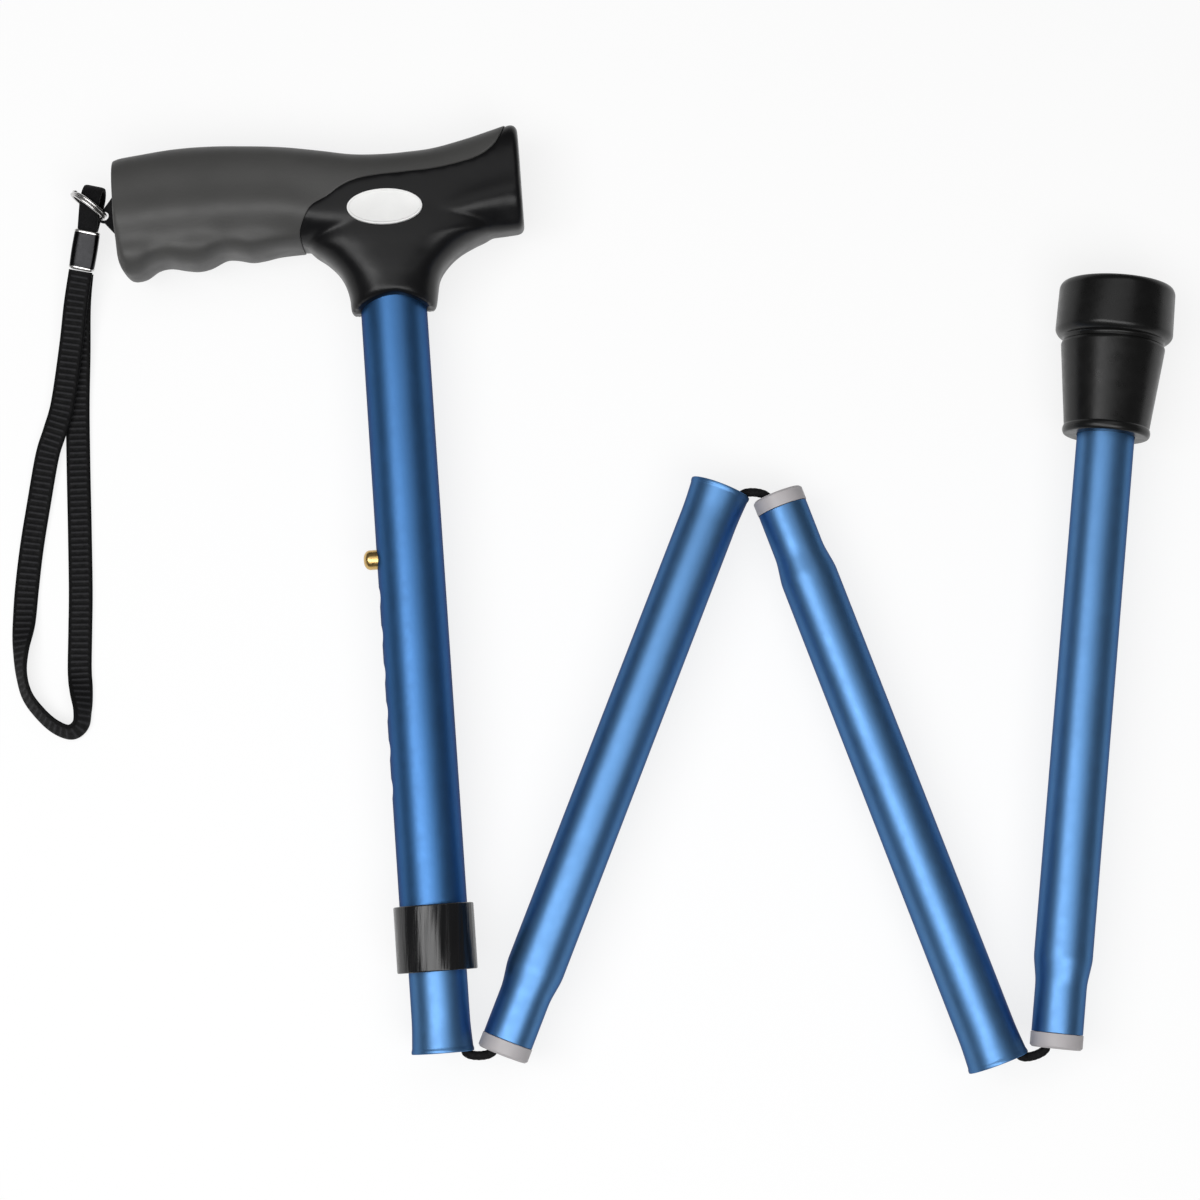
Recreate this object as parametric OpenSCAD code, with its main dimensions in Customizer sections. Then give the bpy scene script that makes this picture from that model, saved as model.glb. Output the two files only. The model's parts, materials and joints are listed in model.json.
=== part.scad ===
// Folding walking cane: a soft-grip handle on a height-adjustable top section, three lower
// sections hung on an elastic cord, and a rubber foot. It lies flat in a zigzag, handle at the left.

/* [Layout] */
// Lean of the handle section, in degrees
handle_lean = 4.2; // [2:0.1:8]
// Angle left open between the handle section and the second section
upper_angle = 25.3; // [22:0.1:60]
// Angle left open between the second and third sections
middle_angle = 41.8; // [36:0.1:60]
// Angle left open between the third and fourth sections
lower_angle = 26.5; // [22:0.1:60]
// Gap from a socket's mouth to the line the fold turns about
mouth_gap = 0.2; // [0.1:0.05:0.6]
// Gap from a collar's end to the line the fold turns about
collar_gap = 2.4; // [2:0.1:5]

/* [Tubes] */
// Outside diameter of the outer tube
outer_od = 22.2; // [21.5:0.1:24]
// Wall of the outer tube
outer_wall = 1.2; // [0.9:0.05:1.25]
// Outside diameter of the inner tube and of the lower sections
tube_od = 19.05; // [18.5:0.05:19.4]
// Wall of the inner tube and of the lower sections
tube_wall = 0.9; // [0.7:0.05:0.95]
// How far a socket's mouth opens, on the radius
mouth_flare = 0.7; // [0.4:0.05:0.9]
// Length of the flared mouth
flare_len = 9; // [6:0.5:14]
// Outside diameter of the drawn-down end that enters a socket
spigot_od = 16.7; // [16:0.05:16.8]
// Length of the drawn-down end with its collar
spigot_len = 20; // [16:0.5:24]
// Length over which a tube is drawn down
taper_len = 10; // [6:0.5:16]
// Length of the second and third sections
section_len = 200; // [170:1:240]
// Length of the fourth section below its foot
foot_section_len = 203; // [180:1:240]

/* [Handle section] */
// Height of the neck's rim above the inner tube's mouth
neck_height = 246; // [230:1:270]
// Height of the button above the inner tube's mouth
button_height = 163; // [155:1:175]
// Height of the end collar above the inner tube's mouth
sleeve_start = 26.3; // [24:0.1:32]
// Length of the end collar
sleeve_len = 21.6; // [16:0.1:28]
// Outside diameter of the end collar
sleeve_od = 26.3; // [25:0.1:28]
// Thickness of the collar's guiding lip
sleeve_lip = 2; // [1.2:0.1:4]
// Spacing of the setting holes
setting_pitch = 12.7; // [10:0.1:14]
// Number of setting holes
setting_count = 7; // [5:1:8]
// Diameter of the button
button_d = 6.6; // [5.5:0.1:7]
// How far the button stands out of the outer tube
button_proud = 4.4; // [3:0.1:5]
// Length of the inner tube above the button
inner_above = 37; // [36:1:50]
// Depth of the tube in the handle
tube_seat = 40; // [38:0.5:44]

/* [Handle] */
// Length of the handle
handle_len = 136; // [126:1:150]
// Height of the handle above the neck's rim
handle_h = 61; // [57:0.5:66]
// Thickness of the handle
handle_w = 33; // [31.5:0.5:38]
// Reach of the grip from the tube's axis
grip_reach = 90.4; // [86:0.2:96]
// Wall of the soft cover
grip_wall = 3; // [2:0.1:4]
// Rounding of the grip's end
end_round = 4; // [3:0.1:5]
// Rounding of the nose's end
nose_round = 3; // [2:0.1:4]
// Length of the badge
badge_len = 25; // [20:0.5:27]
// Height of the badge
badge_h = 12; // [9:0.2:13]
// Thickness of the badge
badge_t = 2; // [1.6:0.1:2.6]
// Diameter of the cross pin
pin_d = 4; // [3:0.1:5]

/* [Wrist strap] */
// Reach of the anchor's hole from the grip's end
anchor_reach = 5; // [4.2:0.1:7]
// Thickness of the anchor tab
anchor_t = 2; // [1.4:0.1:2.6]
// Radius of the hole in the anchor tab
anchor_hole = 1.6; // [1.5:0.05:2]
// Rim of the anchor tab around its hole
anchor_rim = 0.8; // [0.6:0.05:0.9]
// Mean radius of the split ring
ring_r = 6.5; // [6.4:0.1:8]
// Diameter of the split ring's wire
ring_wire = 1.2; // [0.9:0.05:1.3]
// Width of the webbing
webbing_w = 8; // [7:0.1:8.6]
// Thickness of the webbing
webbing_t = 1.6; // [1.2:0.1:1.7]
// Reach of the webbing's loop from the crimp
strap_reach = 157; // [150:1:175]
// Width of the loop through the ring
loop_w = 6.4; // [5:0.1:6.6]
// Length of the crimp
crimp_len = 13.7; // [11:0.1:17]
// Width of the crimp
crimp_w = 8.8; // [8.2:0.1:10]
// Thickness of the crimp
crimp_t = 4.4; // [3.8:0.1:5]

/* [Cord and foot] */
// Diameter of the elastic cord
cord_d = 3; // [2.2:0.1:3.2]
// Diameter of the hole through a collar
collar_bore = 10; // [9:0.1:10.5]
// Outside diameter of a collar
collar_od = 17.1; // [16.6:0.05:17.15]
// Length of the part of a collar that shows
collar_len = 5; // [4:0.1:7]
// Length of a plug inside a tube
plug_len = 8; // [6:0.5:12]
// Diameter of a knot in the elastic cord
knot_d = 6.4; // [5:0.1:8]
// Diameter of the foot at its ground end
foot_d = 39; // [36:0.5:43]
// Height of the whole foot
foot_h = 51.5; // [47:0.5:58]
// Depth of the tube in the foot
foot_seat = 36; // [30:0.5:38]
// Thickness of the steel disc in the foot
washer_t = 1.6; // [1:0.1:2.5]

/* [Hidden] */
$fn = 72;

// Cuts run past a face by this much
overrun = 1;
// Space left between two pieces that are fixed together
fit = 0.06;
// Space left between two pieces that move, and between the runs of the cord
slip = 0.2;
// Edge roundings of turned and moulded pieces
edge = 0.8;

// Radii that many pieces share
outer_r = outer_od / 2;
outer_bore = outer_r - outer_wall;
tube_r = tube_od / 2;
tube_bore = tube_r - tube_wall;
mouth_r = tube_r + mouth_flare;
spigot_r = spigot_od / 2;
spigot_bore = spigot_r - tube_wall;
sleeve_r = sleeve_od / 2;
cord_r = cord_d / 2;
foot_r = foot_d / 2;
pivot_offset = tube_r;
axis_h = foot_r;

// The zigzag: where each section begins and how it is turned
function turn(p, a) = [p.x * cos(a) - p.y * sin(a), p.x * sin(a) + p.y * cos(a)];
half_turn = 180;
quarter_turn = 90;
second_turn = handle_lean - upper_angle;
third_turn = second_turn + middle_angle;
fourth_turn = third_turn - lower_angle;
pivot_upper = turn([pivot_offset, -mouth_gap], handle_lean);
second_start = pivot_upper + turn([pivot_offset, collar_gap], second_turn);
second_mouth = second_start + turn([0, section_len], second_turn);
pivot_middle = second_mouth + turn([pivot_offset, mouth_gap], second_turn);
third_start = pivot_middle + turn([pivot_offset, -collar_gap], third_turn);
third_mouth = third_start + turn([0, -section_len], third_turn);
pivot_lower = third_mouth + turn([pivot_offset, -mouth_gap], third_turn);
fourth_start = pivot_lower + turn([pivot_offset, collar_gap], fourth_turn);
foot_reach = foot_section_len + foot_h;

// The anchor's hole at the grip's end, and the tab round it
anchor_share = 0.662;
anchor_place = [-grip_reach - anchor_reach, neck_height + anchor_share * handle_h];
anchor_tip_r = anchor_hole + anchor_rim;
anchor_flat = turn(anchor_place, handle_lean);

// The middle of everything but the strap, which is the origin
nose_top_share = 0.32;
nose_top = turn([handle_len * nose_top_share, neck_height + handle_h], handle_lean);
foot_edge = fourth_start + turn([foot_r, foot_reach - edge], fourth_turn);
low_corner = third_mouth + turn([-mouth_r, 0], third_turn);
middle = [(anchor_flat.x - anchor_tip_r + foot_edge.x) / 2, (low_corner.y + nose_top.y) / 2];

// Lays a section down, its own Z axis along the section
module lay(start, angle) {
    translate([start.x - middle.x, start.y - middle.y, axis_h])
        rotate([0, 0, angle])
            rotate([-quarter_turn, 0, 0])
                children();
}

module lay_handle() {
    lay([0, 0], handle_lean) children();
}

module lay_second() {
    lay(second_start, second_turn) children();
}

module lay_third() {
    lay(third_start, third_turn + half_turn) children();
}

module lay_fourth() {
    lay(fourth_start, fourth_turn) children();
}

// Faces of a skin over rings that all have the same number of points. The slant picks which way
// each four-sided patch is split, so that two skins that face each other are split alike.
function skin_faces(rings, sides, slant) = concat(
    [[for (j = [0 : sides - 1]) j]],
    [for (i = [0 : rings - 2], j = [0 : sides - 1])
        let (k = (j + 1) % sides)
        [i * sides + j, (i + 1) * sides + j, slant ? i * sides + k : (i + 1) * sides + k]],
    [for (i = [0 : rings - 2], j = [0 : sides - 1])
        let (k = (j + 1) % sides)
        [slant ? (i + 1) * sides + j : i * sides + j, (i + 1) * sides + k, i * sides + k]],
    [[for (j = [0 : sides - 1]) rings * sides - 1 - j]]
);

module skin(rings, slant = false) {
    sides = len(rings[0]);
    polyhedron([for (ring = rings) each ring], skin_faces(len(rings), sides, slant), convexity = 6);
}

// Outline of the handle: shares along its length and of its height or thickness
top_shares = [
    [0, 0.945], [0.07, 0.967], [0.15, 0.984], [0.22, 0.986], [0.32, 0.973], [0.42, 0.952],
    [0.51, 0.914], [0.59, 0.88], [0.66, 0.872], [0.72, 0.874], [0.79, 0.887], [0.87, 0.929],
    [0.93, 0.966], [0.98, 1], [1, 0.985]
];
under_shares = [
    [0, 0.31], [0.025, 0.295], [0.055, 0.304], [0.085, 0.345], [0.115, 0.357], [0.155, 0.339],
    [0.185, 0.33], [0.215, 0.341], [0.255, 0.38], [0.28, 0.379], [0.32, 0.36], [0.35, 0.365],
    [0.39, 0.38], [0.45, 0.386], [0.55, 0.39], [0.82, 0.388], [0.925, 0.39], [1, 0.4]
];
width_shares = [
    [0, 0.86], [0.1, 0.92], [0.3, 1], [0.6, 1], [0.75, 0.95], [0.9, 0.82], [1, 0.74]
];
// Where the soft cover ends: height share on the arm, share along the handle
parting_shares = [
    [0, 0.454], [0.1, 0.454], [0.245, 0.472], [0.345, 0.49], [0.45, 0.531], [0.56, 0.554],
    [0.65, 0.588], [0.68, 0.62], [0.7, 0.78], [0.72, 0.89], [0.76, 0.918], [0.82, 0.941],
    [0.9, 0.956], [1, 0.968]
];
// The neck: height share, then left, right and depth shares of the handle's thickness
neck_shares = [
    [0, 0.412, 0.412, 0.412], [0.02, 0.43, 0.435, 0.43], [0.09, 0.437, 0.46, 0.437],
    [0.175, 0.478, 0.494, 0.445], [0.25, 0.554, 0.585, 0.455], [0.315, 0.67, 0.727, 0.46],
    [0.36, 0.78, 0.89, 0.464], [0.4, 0.825, 1.06, 0.464], [0.49, 0.76, 1.08, 0.464],
    [0.58, 0.56, 1, 0.45], [0.65, 0.35, 0.75, 0.4]
];
arm_sides = 32;
arm_steps = 18;
nose_steps = 10;
round_steps = 3;
arm_roundness = 0.77;
neck_roundness = 0.86;
// Share of the arm's height that the core stays below the cover's edge
parting_ease_share = 0.008;

function swell(q, roundness) = sign(q) * pow(abs(q), roundness);
function arm_angle(j) = 360 * j / arm_sides;
function arm_rise(j) = swell(cos(arm_angle(j)), arm_roundness);
function arm_point(x, j, inset) =
    let (share = (x + grip_reach) / handle_len)
    let (top = lookup(share, top_shares) * handle_h - inset)
    let (under = lookup(share, under_shares) * handle_h + inset)
    let (half = lookup(share, width_shares) * handle_w / 2 - inset)
    [x, -half * swell(sin(arm_angle(j)), arm_roundness),
        neck_height + (top + under) / 2 + (top - under) / 2 * arm_rise(j)];
function parting_x(j, ease) =
    handle_len * lookup((1 + arm_rise(j)) / 2 + ease, parting_shares) - grip_reach;
arm_start = end_round - grip_reach;
nose_end = handle_len - grip_reach;
nose_start = nose_end - nose_round;
function arm_x(i, j, ease) = arm_start + (parting_x(j, ease) - arm_start) * i / arm_steps;
function nose_x(i, j) =
    let (start = parting_x(j, parting_ease_share) + fit)
    start + (nose_start - start) * i / nose_steps;
function arm_ring(i, inset, ahead, ease) =
    [for (j = [0 : arm_sides - 1]) arm_point(arm_x(i, j, ease) + ahead, j, inset)];
function end_ring(k) =
    let (angle = quarter_turn * k / round_steps)
    let (x = arm_start - end_round * sin(quarter_turn - angle))
    [for (j = [0 : arm_sides - 1]) arm_point(x, j, end_round * (1 - sin(angle)))];
function nose_ring(i) = [for (j = [0 : arm_sides - 1]) arm_point(nose_x(i, j), j, 0)];
function nose_cap(k) =
    let (angle = quarter_turn * k / round_steps)
    let (x = nose_start + nose_round * sin(angle))
    [for (j = [0 : arm_sides - 1]) arm_point(x, j, nose_round * (1 - cos(angle)))];
function neck_ring(row) =
    [for (j = [0 : arm_sides - 1])
        let (across = swell(cos(arm_angle(j)), neck_roundness))
        let (side = across < 0 ? row[1] : row[2])
        [side * handle_w * across, row[3] * handle_w * swell(sin(arm_angle(j)), neck_roundness),
            neck_height + row[0] * handle_h]];

// The badge and the pocket it sits in
badge_share = 0.535;
badge_floor_share = 0.435;
badge_tilt = 2;
badge_sides = 48;
function oval(length, height) =
    [for (i = [0 : badge_sides - 1])
        [length / 2 * cos(360 * i / badge_sides), height / 2 * sin(360 * i / badge_sides)]];

module badge_plate(length, height, thickness) {
    translate([0, -badge_floor_share * handle_w, neck_height + badge_share * handle_h])
        rotate([quarter_turn, badge_tilt, 0])
            linear_extrude(height = thickness)
                polygon(oval(length, height));
}

module pin_hole(r, depth) {
    translate([0, -badge_floor_share * handle_w, neck_height + badge_share * handle_h])
        rotate([-quarter_turn, 0, 0])
            cylinder(h = depth, r = r);
}

pin_len = 2 * badge_floor_share * handle_w - grip_wall;

module anchor_plate(grow) {
    root_share = 1.7;
    translate([0, anchor_t / 2 + grow, 0])
        rotate([quarter_turn, 0, 0])
            linear_extrude(height = anchor_t + 2 * grow)
                polygon([
                    [anchor_place.x, anchor_place.y + anchor_tip_r],
                    [anchor_place.x - anchor_tip_r, anchor_place.y],
                    [anchor_place.x, anchor_place.y - anchor_tip_r],
                    [-grip_reach, anchor_place.y - root_share * anchor_reach - grow],
                    [anchor_stop, anchor_place.y - root_share * anchor_reach - grow],
                    [anchor_stop, anchor_place.y + root_share * anchor_reach + grow],
                    [-grip_reach, anchor_place.y + root_share * anchor_reach + grow]
                ]);
}

anchor_stop = arm_start - slip;

module handle_core() {
    color([0.06, 0.06, 0.065])
        lay_handle()
            difference() {
                union() {
                    skin(concat(
                        [for (i = [0 : arm_steps]) arm_ring(i, grip_wall + slip, fit, parting_ease_share)],
                        [for (i = [0 : nose_steps]) nose_ring(i)],
                        [for (k = [1 : round_steps]) nose_cap(k)]
                    ), true);
                    skin([for (row = neck_shares) neck_ring(row)]);
                }
                translate([0, 0, neck_height - overrun])
                    cylinder(h = tube_seat + overrun + fit, r = outer_r + fit);
                badge_plate(badge_len + 2 * fit, badge_h + 2 * fit, handle_w);
                pin_hole(pin_d / 2 + fit, pin_len + fit);
            }
}

module grip_cover() {
    color([0.29, 0.29, 0.285])
        lay_handle()
            difference() {
                skin(concat(
                    [for (k = [0 : round_steps]) end_ring(k)],
                    [for (i = [1 : arm_steps]) arm_ring(i, 0, 0, 0)],
                    [for (i = [0 : arm_steps]) arm_ring(arm_steps - i, grip_wall, 0, 0)]
                ));
                anchor_plate(fit);
            }
}

module handle_badge() {
    color([0.93, 0.93, 0.92])
        lay_handle()
            badge_plate(badge_len, badge_h, badge_t);
}

module handle_pin() {
    color([0.7, 0.7, 0.72])
        lay_handle()
            pin_hole(pin_d / 2, pin_len);
}

module strap_anchor() {
    color([0.05, 0.05, 0.055])
        lay_handle()
            difference() {
                anchor_plate(0);
                translate([anchor_place.x, anchor_t, anchor_place.y])
                    rotate([quarter_turn, 0, 0])
                        cylinder(h = 2 * anchor_t, r = anchor_hole);
            }
}

// The row of setting holes runs down from the button
hole_r = button_d / 2 + slip;

module side_hole(height, reach) {
    translate([0, 0, height])
        rotate([0, -quarter_turn, 0])
            cylinder(h = reach, r = hole_r);
}

outer_foot = sleeve_start + sleeve_lip;
outer_head = neck_height + tube_seat;
inner_len = button_height + inner_above;

module outer_tube() {
    color([0.13, 0.34, 0.66])
        lay_handle()
            difference() {
                translate([0, 0, outer_foot])
                    cylinder(h = outer_head - outer_foot, r = outer_r);
                translate([0, 0, outer_foot - overrun])
                    cylinder(h = outer_head - outer_foot + 2 * overrun, r = outer_bore);
                for (i = [0 : setting_count - 1])
                    side_hole(button_height - i * setting_pitch, outer_r + overrun);
                pin_hole(pin_d / 2 + fit, handle_w);
            }
}

module end_collar() {
    color([0.05, 0.05, 0.055])
        lay_handle()
            rotate_extrude()
                polygon([
                    [tube_r + slip / 2, sleeve_start],
                    [sleeve_r - edge, sleeve_start],
                    [sleeve_r, sleeve_start + edge],
                    [sleeve_r, sleeve_start + sleeve_len - edge],
                    [sleeve_r - edge, sleeve_start + sleeve_len],
                    [outer_r + fit, sleeve_start + sleeve_len],
                    [outer_r + fit, outer_foot],
                    [tube_r + slip / 2, outer_foot]
                ]);
}

module inner_tube() {
    color([0.13, 0.34, 0.66])
        lay_handle()
            difference() {
                rotate_extrude()
                    polygon([
                        [mouth_r - tube_wall, 0],
                        [mouth_r, 0],
                        [tube_r, flare_len],
                        [tube_r, inner_len],
                        [tube_bore, inner_len],
                        [tube_bore, flare_len]
                    ]);
                side_hole(button_height, tube_r + overrun);
            }
}

// Bush at the inner tube's head: a flange on the end and a plug in the bore
module guide_bush() {
    flange_r = outer_bore - slip;
    bush_bore = collar_bore / 2;
    color([0.85, 0.85, 0.84])
        lay_handle()
            rotate_extrude()
                polygon([
                    [bush_bore, inner_len - plug_len],
                    [tube_bore - fit, inner_len - plug_len],
                    [tube_bore - fit, inner_len],
                    [flange_r, inner_len],
                    [flange_r, inner_len + collar_len - edge],
                    [flange_r - edge, inner_len + collar_len],
                    [bush_bore, inner_len + collar_len]
                ]);
}

button_tip = outer_r + button_proud;
button_base = tube_bore - tube_wall - slip;

module height_button() {
    color([0.78, 0.6, 0.28])
        lay_handle()
            translate([-button_base, 0, button_height])
                rotate([0, -quarter_turn, 0])
                    rotate_extrude()
                        polygon([
                            [0, 0],
                            [button_d / 2, 0],
                            [button_d / 2, button_tip - button_base - 2 * edge],
                            [button_d / 2 - edge / 2, button_tip - button_base - edge],
                            [button_d / 2 - 2 * edge, button_tip - button_base],
                            [0, button_tip - button_base]
                        ]);
}

// V spring under the button, its fold at the top
module button_spring() {
    leaf_t = 0.6;
    leaf_share = 0.8;
    fold_top = inner_len - plug_len - collar_len;
    leg_foot = button_height - button_d / 2 - edge;
    spread = button_base - fit;
    color([0.72, 0.72, 0.74])
        lay_handle()
            translate([0, leaf_share * button_d / 2, 0])
                rotate([quarter_turn, 0, 0])
                    linear_extrude(height = leaf_share * button_d)
                        polygon([
                            [-spread, leg_foot],
                            [-spread, button_height + button_d / 2],
                            [-leaf_t, fold_top],
                            [leaf_t, fold_top],
                            [spread, button_height + button_d / 2],
                            [spread, leg_foot],
                            [spread - leaf_t, leg_foot],
                            [spread - leaf_t, button_height + button_d / 2],
                            [0, fold_top - 2 * leaf_t],
                            [leaf_t - spread, button_height + button_d / 2],
                            [leaf_t - spread, leg_foot]
                        ]);
}

// A drawn-down tube with its flared mouth at the far end
module socket_tube(length) {
    rotate_extrude()
        polygon([
            [spigot_bore, collar_len],
            [spigot_r, collar_len],
            [spigot_r, spigot_len],
            [tube_r, spigot_len + taper_len],
            [tube_r, length - flare_len],
            [mouth_r, length],
            [mouth_r - tube_wall, length],
            [tube_bore, length - flare_len],
            [tube_bore, spigot_len + taper_len],
            [spigot_bore, spigot_len]
        ]);
}

// Collar at a section's end: a ring that shows and a plug in the drawn-down tube
module plug_collar() {
    rotate_extrude()
        polygon([
            [collar_bore / 2 + edge, 0],
            [collar_od / 2 - edge, 0],
            [collar_od / 2, edge],
            [collar_od / 2, collar_len],
            [spigot_bore - fit, collar_len],
            [spigot_bore - fit, collar_len + plug_len],
            [collar_bore / 2, collar_len + plug_len],
            [collar_bore / 2, edge]
        ]);
}

module second_tube() {
    color([0.13, 0.34, 0.66])
        lay_second() socket_tube(section_len);
}

module third_tube() {
    color([0.13, 0.34, 0.66])
        lay_third() socket_tube(section_len);
}

fourth_len = foot_section_len + foot_seat - washer_t - fit;

module fourth_tube() {
    color([0.13, 0.34, 0.66])
        lay_fourth()
            rotate_extrude()
                polygon([
                    [spigot_bore, collar_len],
                    [spigot_r, collar_len],
                    [spigot_r, spigot_len],
                    [tube_r, spigot_len + taper_len],
                    [tube_r, fourth_len],
                    [tube_bore, fourth_len],
                    [tube_bore, spigot_len + taper_len],
                    [spigot_bore, spigot_len]
                ]);
}

module second_collar() {
    color([0.68, 0.67, 0.68])
        lay_second() plug_collar();
}

module third_collar() {
    color([0.68, 0.67, 0.68])
        lay_third() plug_collar();
}

module fourth_collar() {
    color([0.68, 0.67, 0.68])
        lay_fourth() plug_collar();
}

// The elastic cord: where it lies in a collar's hole, in a mouth and deep in a tube
hole_offset = collar_bore / 2 - cord_r - slip;
mouth_offset = tube_bore + mouth_flare - cord_r - 2 * slip;
deep_offset = tube_bore - cord_r - 2 * slip;
bend_depth = spigot_len + plug_len;
collar_depth = collar_len + slip;
plug_height = button_height - 2 * spigot_len;

// A straight run of cord between two places in a section's own plane
module cord_run(start, stop) {
    reach = stop - start;
    translate([start.x, 0, start.y])
        rotate([0, atan2(reach.x, reach.y), 0])
            cylinder(h = norm(reach), r = cord_r);
}

module elastic_upper() {
    color([0.06, 0.06, 0.06])
        lay_handle()
            cord_run([0, plug_height - slip], [deep_offset, bend_depth + slip]);
}

module elastic_second() {
    color([0.06, 0.06, 0.06])
        lay_second()
            cord_run([-hole_offset, collar_depth + slip], [deep_offset, section_len - bend_depth - slip]);
}

module elastic_third() {
    color([0.06, 0.06, 0.06])
        lay_third()
            cord_run([hole_offset, collar_depth + slip], [-deep_offset, section_len - bend_depth - slip]);
}

module elastic_fourth() {
    color([0.06, 0.06, 0.06])
        lay_fourth()
            cord_run([-hole_offset, collar_depth + slip], [0, fourth_len - 2 * plug_len - slip]);
}

// A bend of the cord from deep in one section, round the fold and into the next collar.
// Places are [towards the first section's axis, out of its mouth], seen from the pivot.
bend_reach_share = 1.15;
bend_sides = 10;
bend_steps = 14;
function bezier(a, b, c, d, t) =
    a * pow(1 - t, 3) + 3 * b * t * pow(1 - t, 2) + 3 * c * pow(t, 2) * (1 - t) + d * pow(t, 3);
function bend_path(open_angle) =
    let (fold = half_turn - open_angle)
    let (across = [cos(fold), sin(fold)])
    let (along = [-sin(fold), cos(fold)])
    let (reach = bend_reach_share * cord_d)
    let (leave = [pivot_offset - mouth_offset, -mouth_gap])
    let (enter = (pivot_offset - hole_offset) * across + collar_gap * along)
    concat(
        [for (depth = [bend_depth, flare_len]) [pivot_offset - deep_offset, -depth - mouth_gap]],
        [for (i = [0 : bend_steps])
            bezier(leave, leave + [0, reach], enter - reach * along, enter, i / bend_steps)],
        [enter + collar_depth * along]
    );
function path_heading(path, i) =
    let (ahead = path[min(i + 1, len(path) - 1)] - path[max(i - 1, 0)])
    ahead / norm(ahead);
// Puts a bend's places into the section's own plane: side of the fold, way out, height of the pivot
function bend_ring(path, i, side, out, height) =
    let (place = [side * (pivot_offset - path[i].x), height + out * path[i].y])
    let (heading = path_heading(path, i))
    let (way = [-side * heading.x, out * heading.y])
    [for (j = [0 : bend_sides - 1])
        let (angle = 360 * j / bend_sides)
        [place.x + cord_r * cos(angle) * way.y, cord_r * sin(angle),
            place.y - cord_r * cos(angle) * way.x]];

module cord_bend(open_angle, side, out, height) {
    path = bend_path(open_angle);
    color([0.06, 0.06, 0.06])
        skin([for (i = [0 : len(path) - 1]) bend_ring(path, i, side, out, height)]);
}

module cord_bend_upper() {
    lay_handle() cord_bend(upper_angle, 1, -1, -mouth_gap);
}

module cord_bend_middle() {
    lay_second() cord_bend(middle_angle, 1, 1, section_len + mouth_gap);
}

module cord_bend_lower() {
    lay_third() cord_bend(lower_angle, -1, 1, section_len + mouth_gap);
}

// Plugs that hold the two ends of the cord, each with a knot behind it
module cord_plug(bottom) {
    difference() {
        translate([0, 0, bottom])
            cylinder(h = plug_len, r = tube_bore - fit);
        translate([0, 0, bottom - overrun])
            cylinder(h = plug_len + 2 * overrun, r = cord_r + slip);
    }
}

module cord_plug_top() {
    color([0.85, 0.85, 0.84])
        lay_handle() cord_plug(plug_height);
}

module cord_knot_top() {
    color([0.06, 0.06, 0.06])
        lay_handle()
            translate([0, 0, plug_height + plug_len + knot_d / 2 + slip])
                sphere(d = knot_d);
}

module cord_plug_bottom() {
    color([0.85, 0.85, 0.84])
        lay_fourth() cord_plug(fourth_len - 2 * plug_len);
}

module cord_knot_bottom() {
    color([0.06, 0.06, 0.06])
        lay_fourth()
            translate([0, 0, fourth_len - plug_len + knot_d / 2 + slip])
                sphere(d = knot_d);
}

// The foot: lip, cone, waist and pad, with the tube's socket and a ring groove in the ground face
module rubber_foot() {
    lip_r_share = 0.75;
    cone_start_share = 0.73;
    cone_end_share = 0.885;
    waist_share = 0.86;
    pad_share = 0.985;
    lip_h_share = 0.055;
    cone_h_share = 0.6;
    pad_h_share = 0.645;
    groove_shares = [0.5, 0.62];
    groove_depth_share = 0.04;
    start = foot_section_len;
    ground = start + foot_h;
    lip_top = start + lip_h_share * foot_h;
    cone_top = start + cone_h_share * foot_h;
    pad_start = start + pad_h_share * foot_h;
    groove_floor = ground - groove_depth_share * foot_h;
    color([0.05, 0.05, 0.05])
        lay_fourth()
            rotate_extrude()
                polygon([
                    [tube_r + fit, start],
                    [lip_r_share * foot_r - edge, start],
                    [lip_r_share * foot_r, start + edge],
                    [lip_r_share * foot_r, lip_top - edge],
                    [cone_start_share * foot_r, lip_top],
                    [cone_end_share * foot_r, cone_top],
                    [waist_share * foot_r, cone_top + edge],
                    [waist_share * foot_r, pad_start - edge],
                    [foot_r - 2 * edge, pad_start],
                    [foot_r, pad_start + 2 * edge],
                    [pad_share * foot_r, ground - 2 * edge],
                    [pad_share * foot_r - 2 * edge, ground],
                    [groove_shares[1] * foot_r, ground],
                    [groove_shares[1] * foot_r, groove_floor],
                    [groove_shares[0] * foot_r, groove_floor],
                    [groove_shares[0] * foot_r, ground],
                    [0, ground],
                    [0, start + foot_seat],
                    [tube_r + fit, start + foot_seat]
                ]);
}

module foot_washer() {
    color([0.7, 0.7, 0.72])
        lay_fourth()
            translate([0, 0, foot_section_len + foot_seat - washer_t])
                cylinder(h = washer_t - fit / 2, r = tube_r - fit);
}

// The strap's ring stands upright in the anchor's hole; the loop, crimp and webbing follow it
ring_turn = 144;
strap_turn = 168.6;
strap_dip = 16;
loop_ahead = 1.5;
loop_drop = 4.6;
loop_r = 3.4;
crimp_start = 8.6;
ring_middle = anchor_flat - middle + turn([ring_r, 0], ring_turn);
crimp_end = [0, crimp_start + crimp_len, -loop_drop];

module lay_strap() {
    translate([ring_middle.x, ring_middle.y, axis_h])
        rotate([0, 0, strap_turn])
            rotate([-strap_dip, 0, 0])
                children();
}

module strap_ring() {
    coil_share = 0.42;
    color([0.75, 0.75, 0.77])
        translate([ring_middle.x, ring_middle.y, axis_h])
            rotate([quarter_turn, 0, ring_turn])
                rotate_extrude()
                    for (side = [-1, 1])
                        translate([ring_r, side * coil_share * ring_wire])
                            circle(d = ring_wire, $fn = 24);
}

// Profile of the loop: round past the ring, narrowing to the crimp
module loop_profile(r, neck) {
    hull() {
        translate([-loop_ahead, -loop_drop])
            circle(r = r, $fn = 36);
        translate([crimp_start - slip - neck, -loop_drop])
            circle(r = neck, $fn = 24);
    }
}

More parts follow.
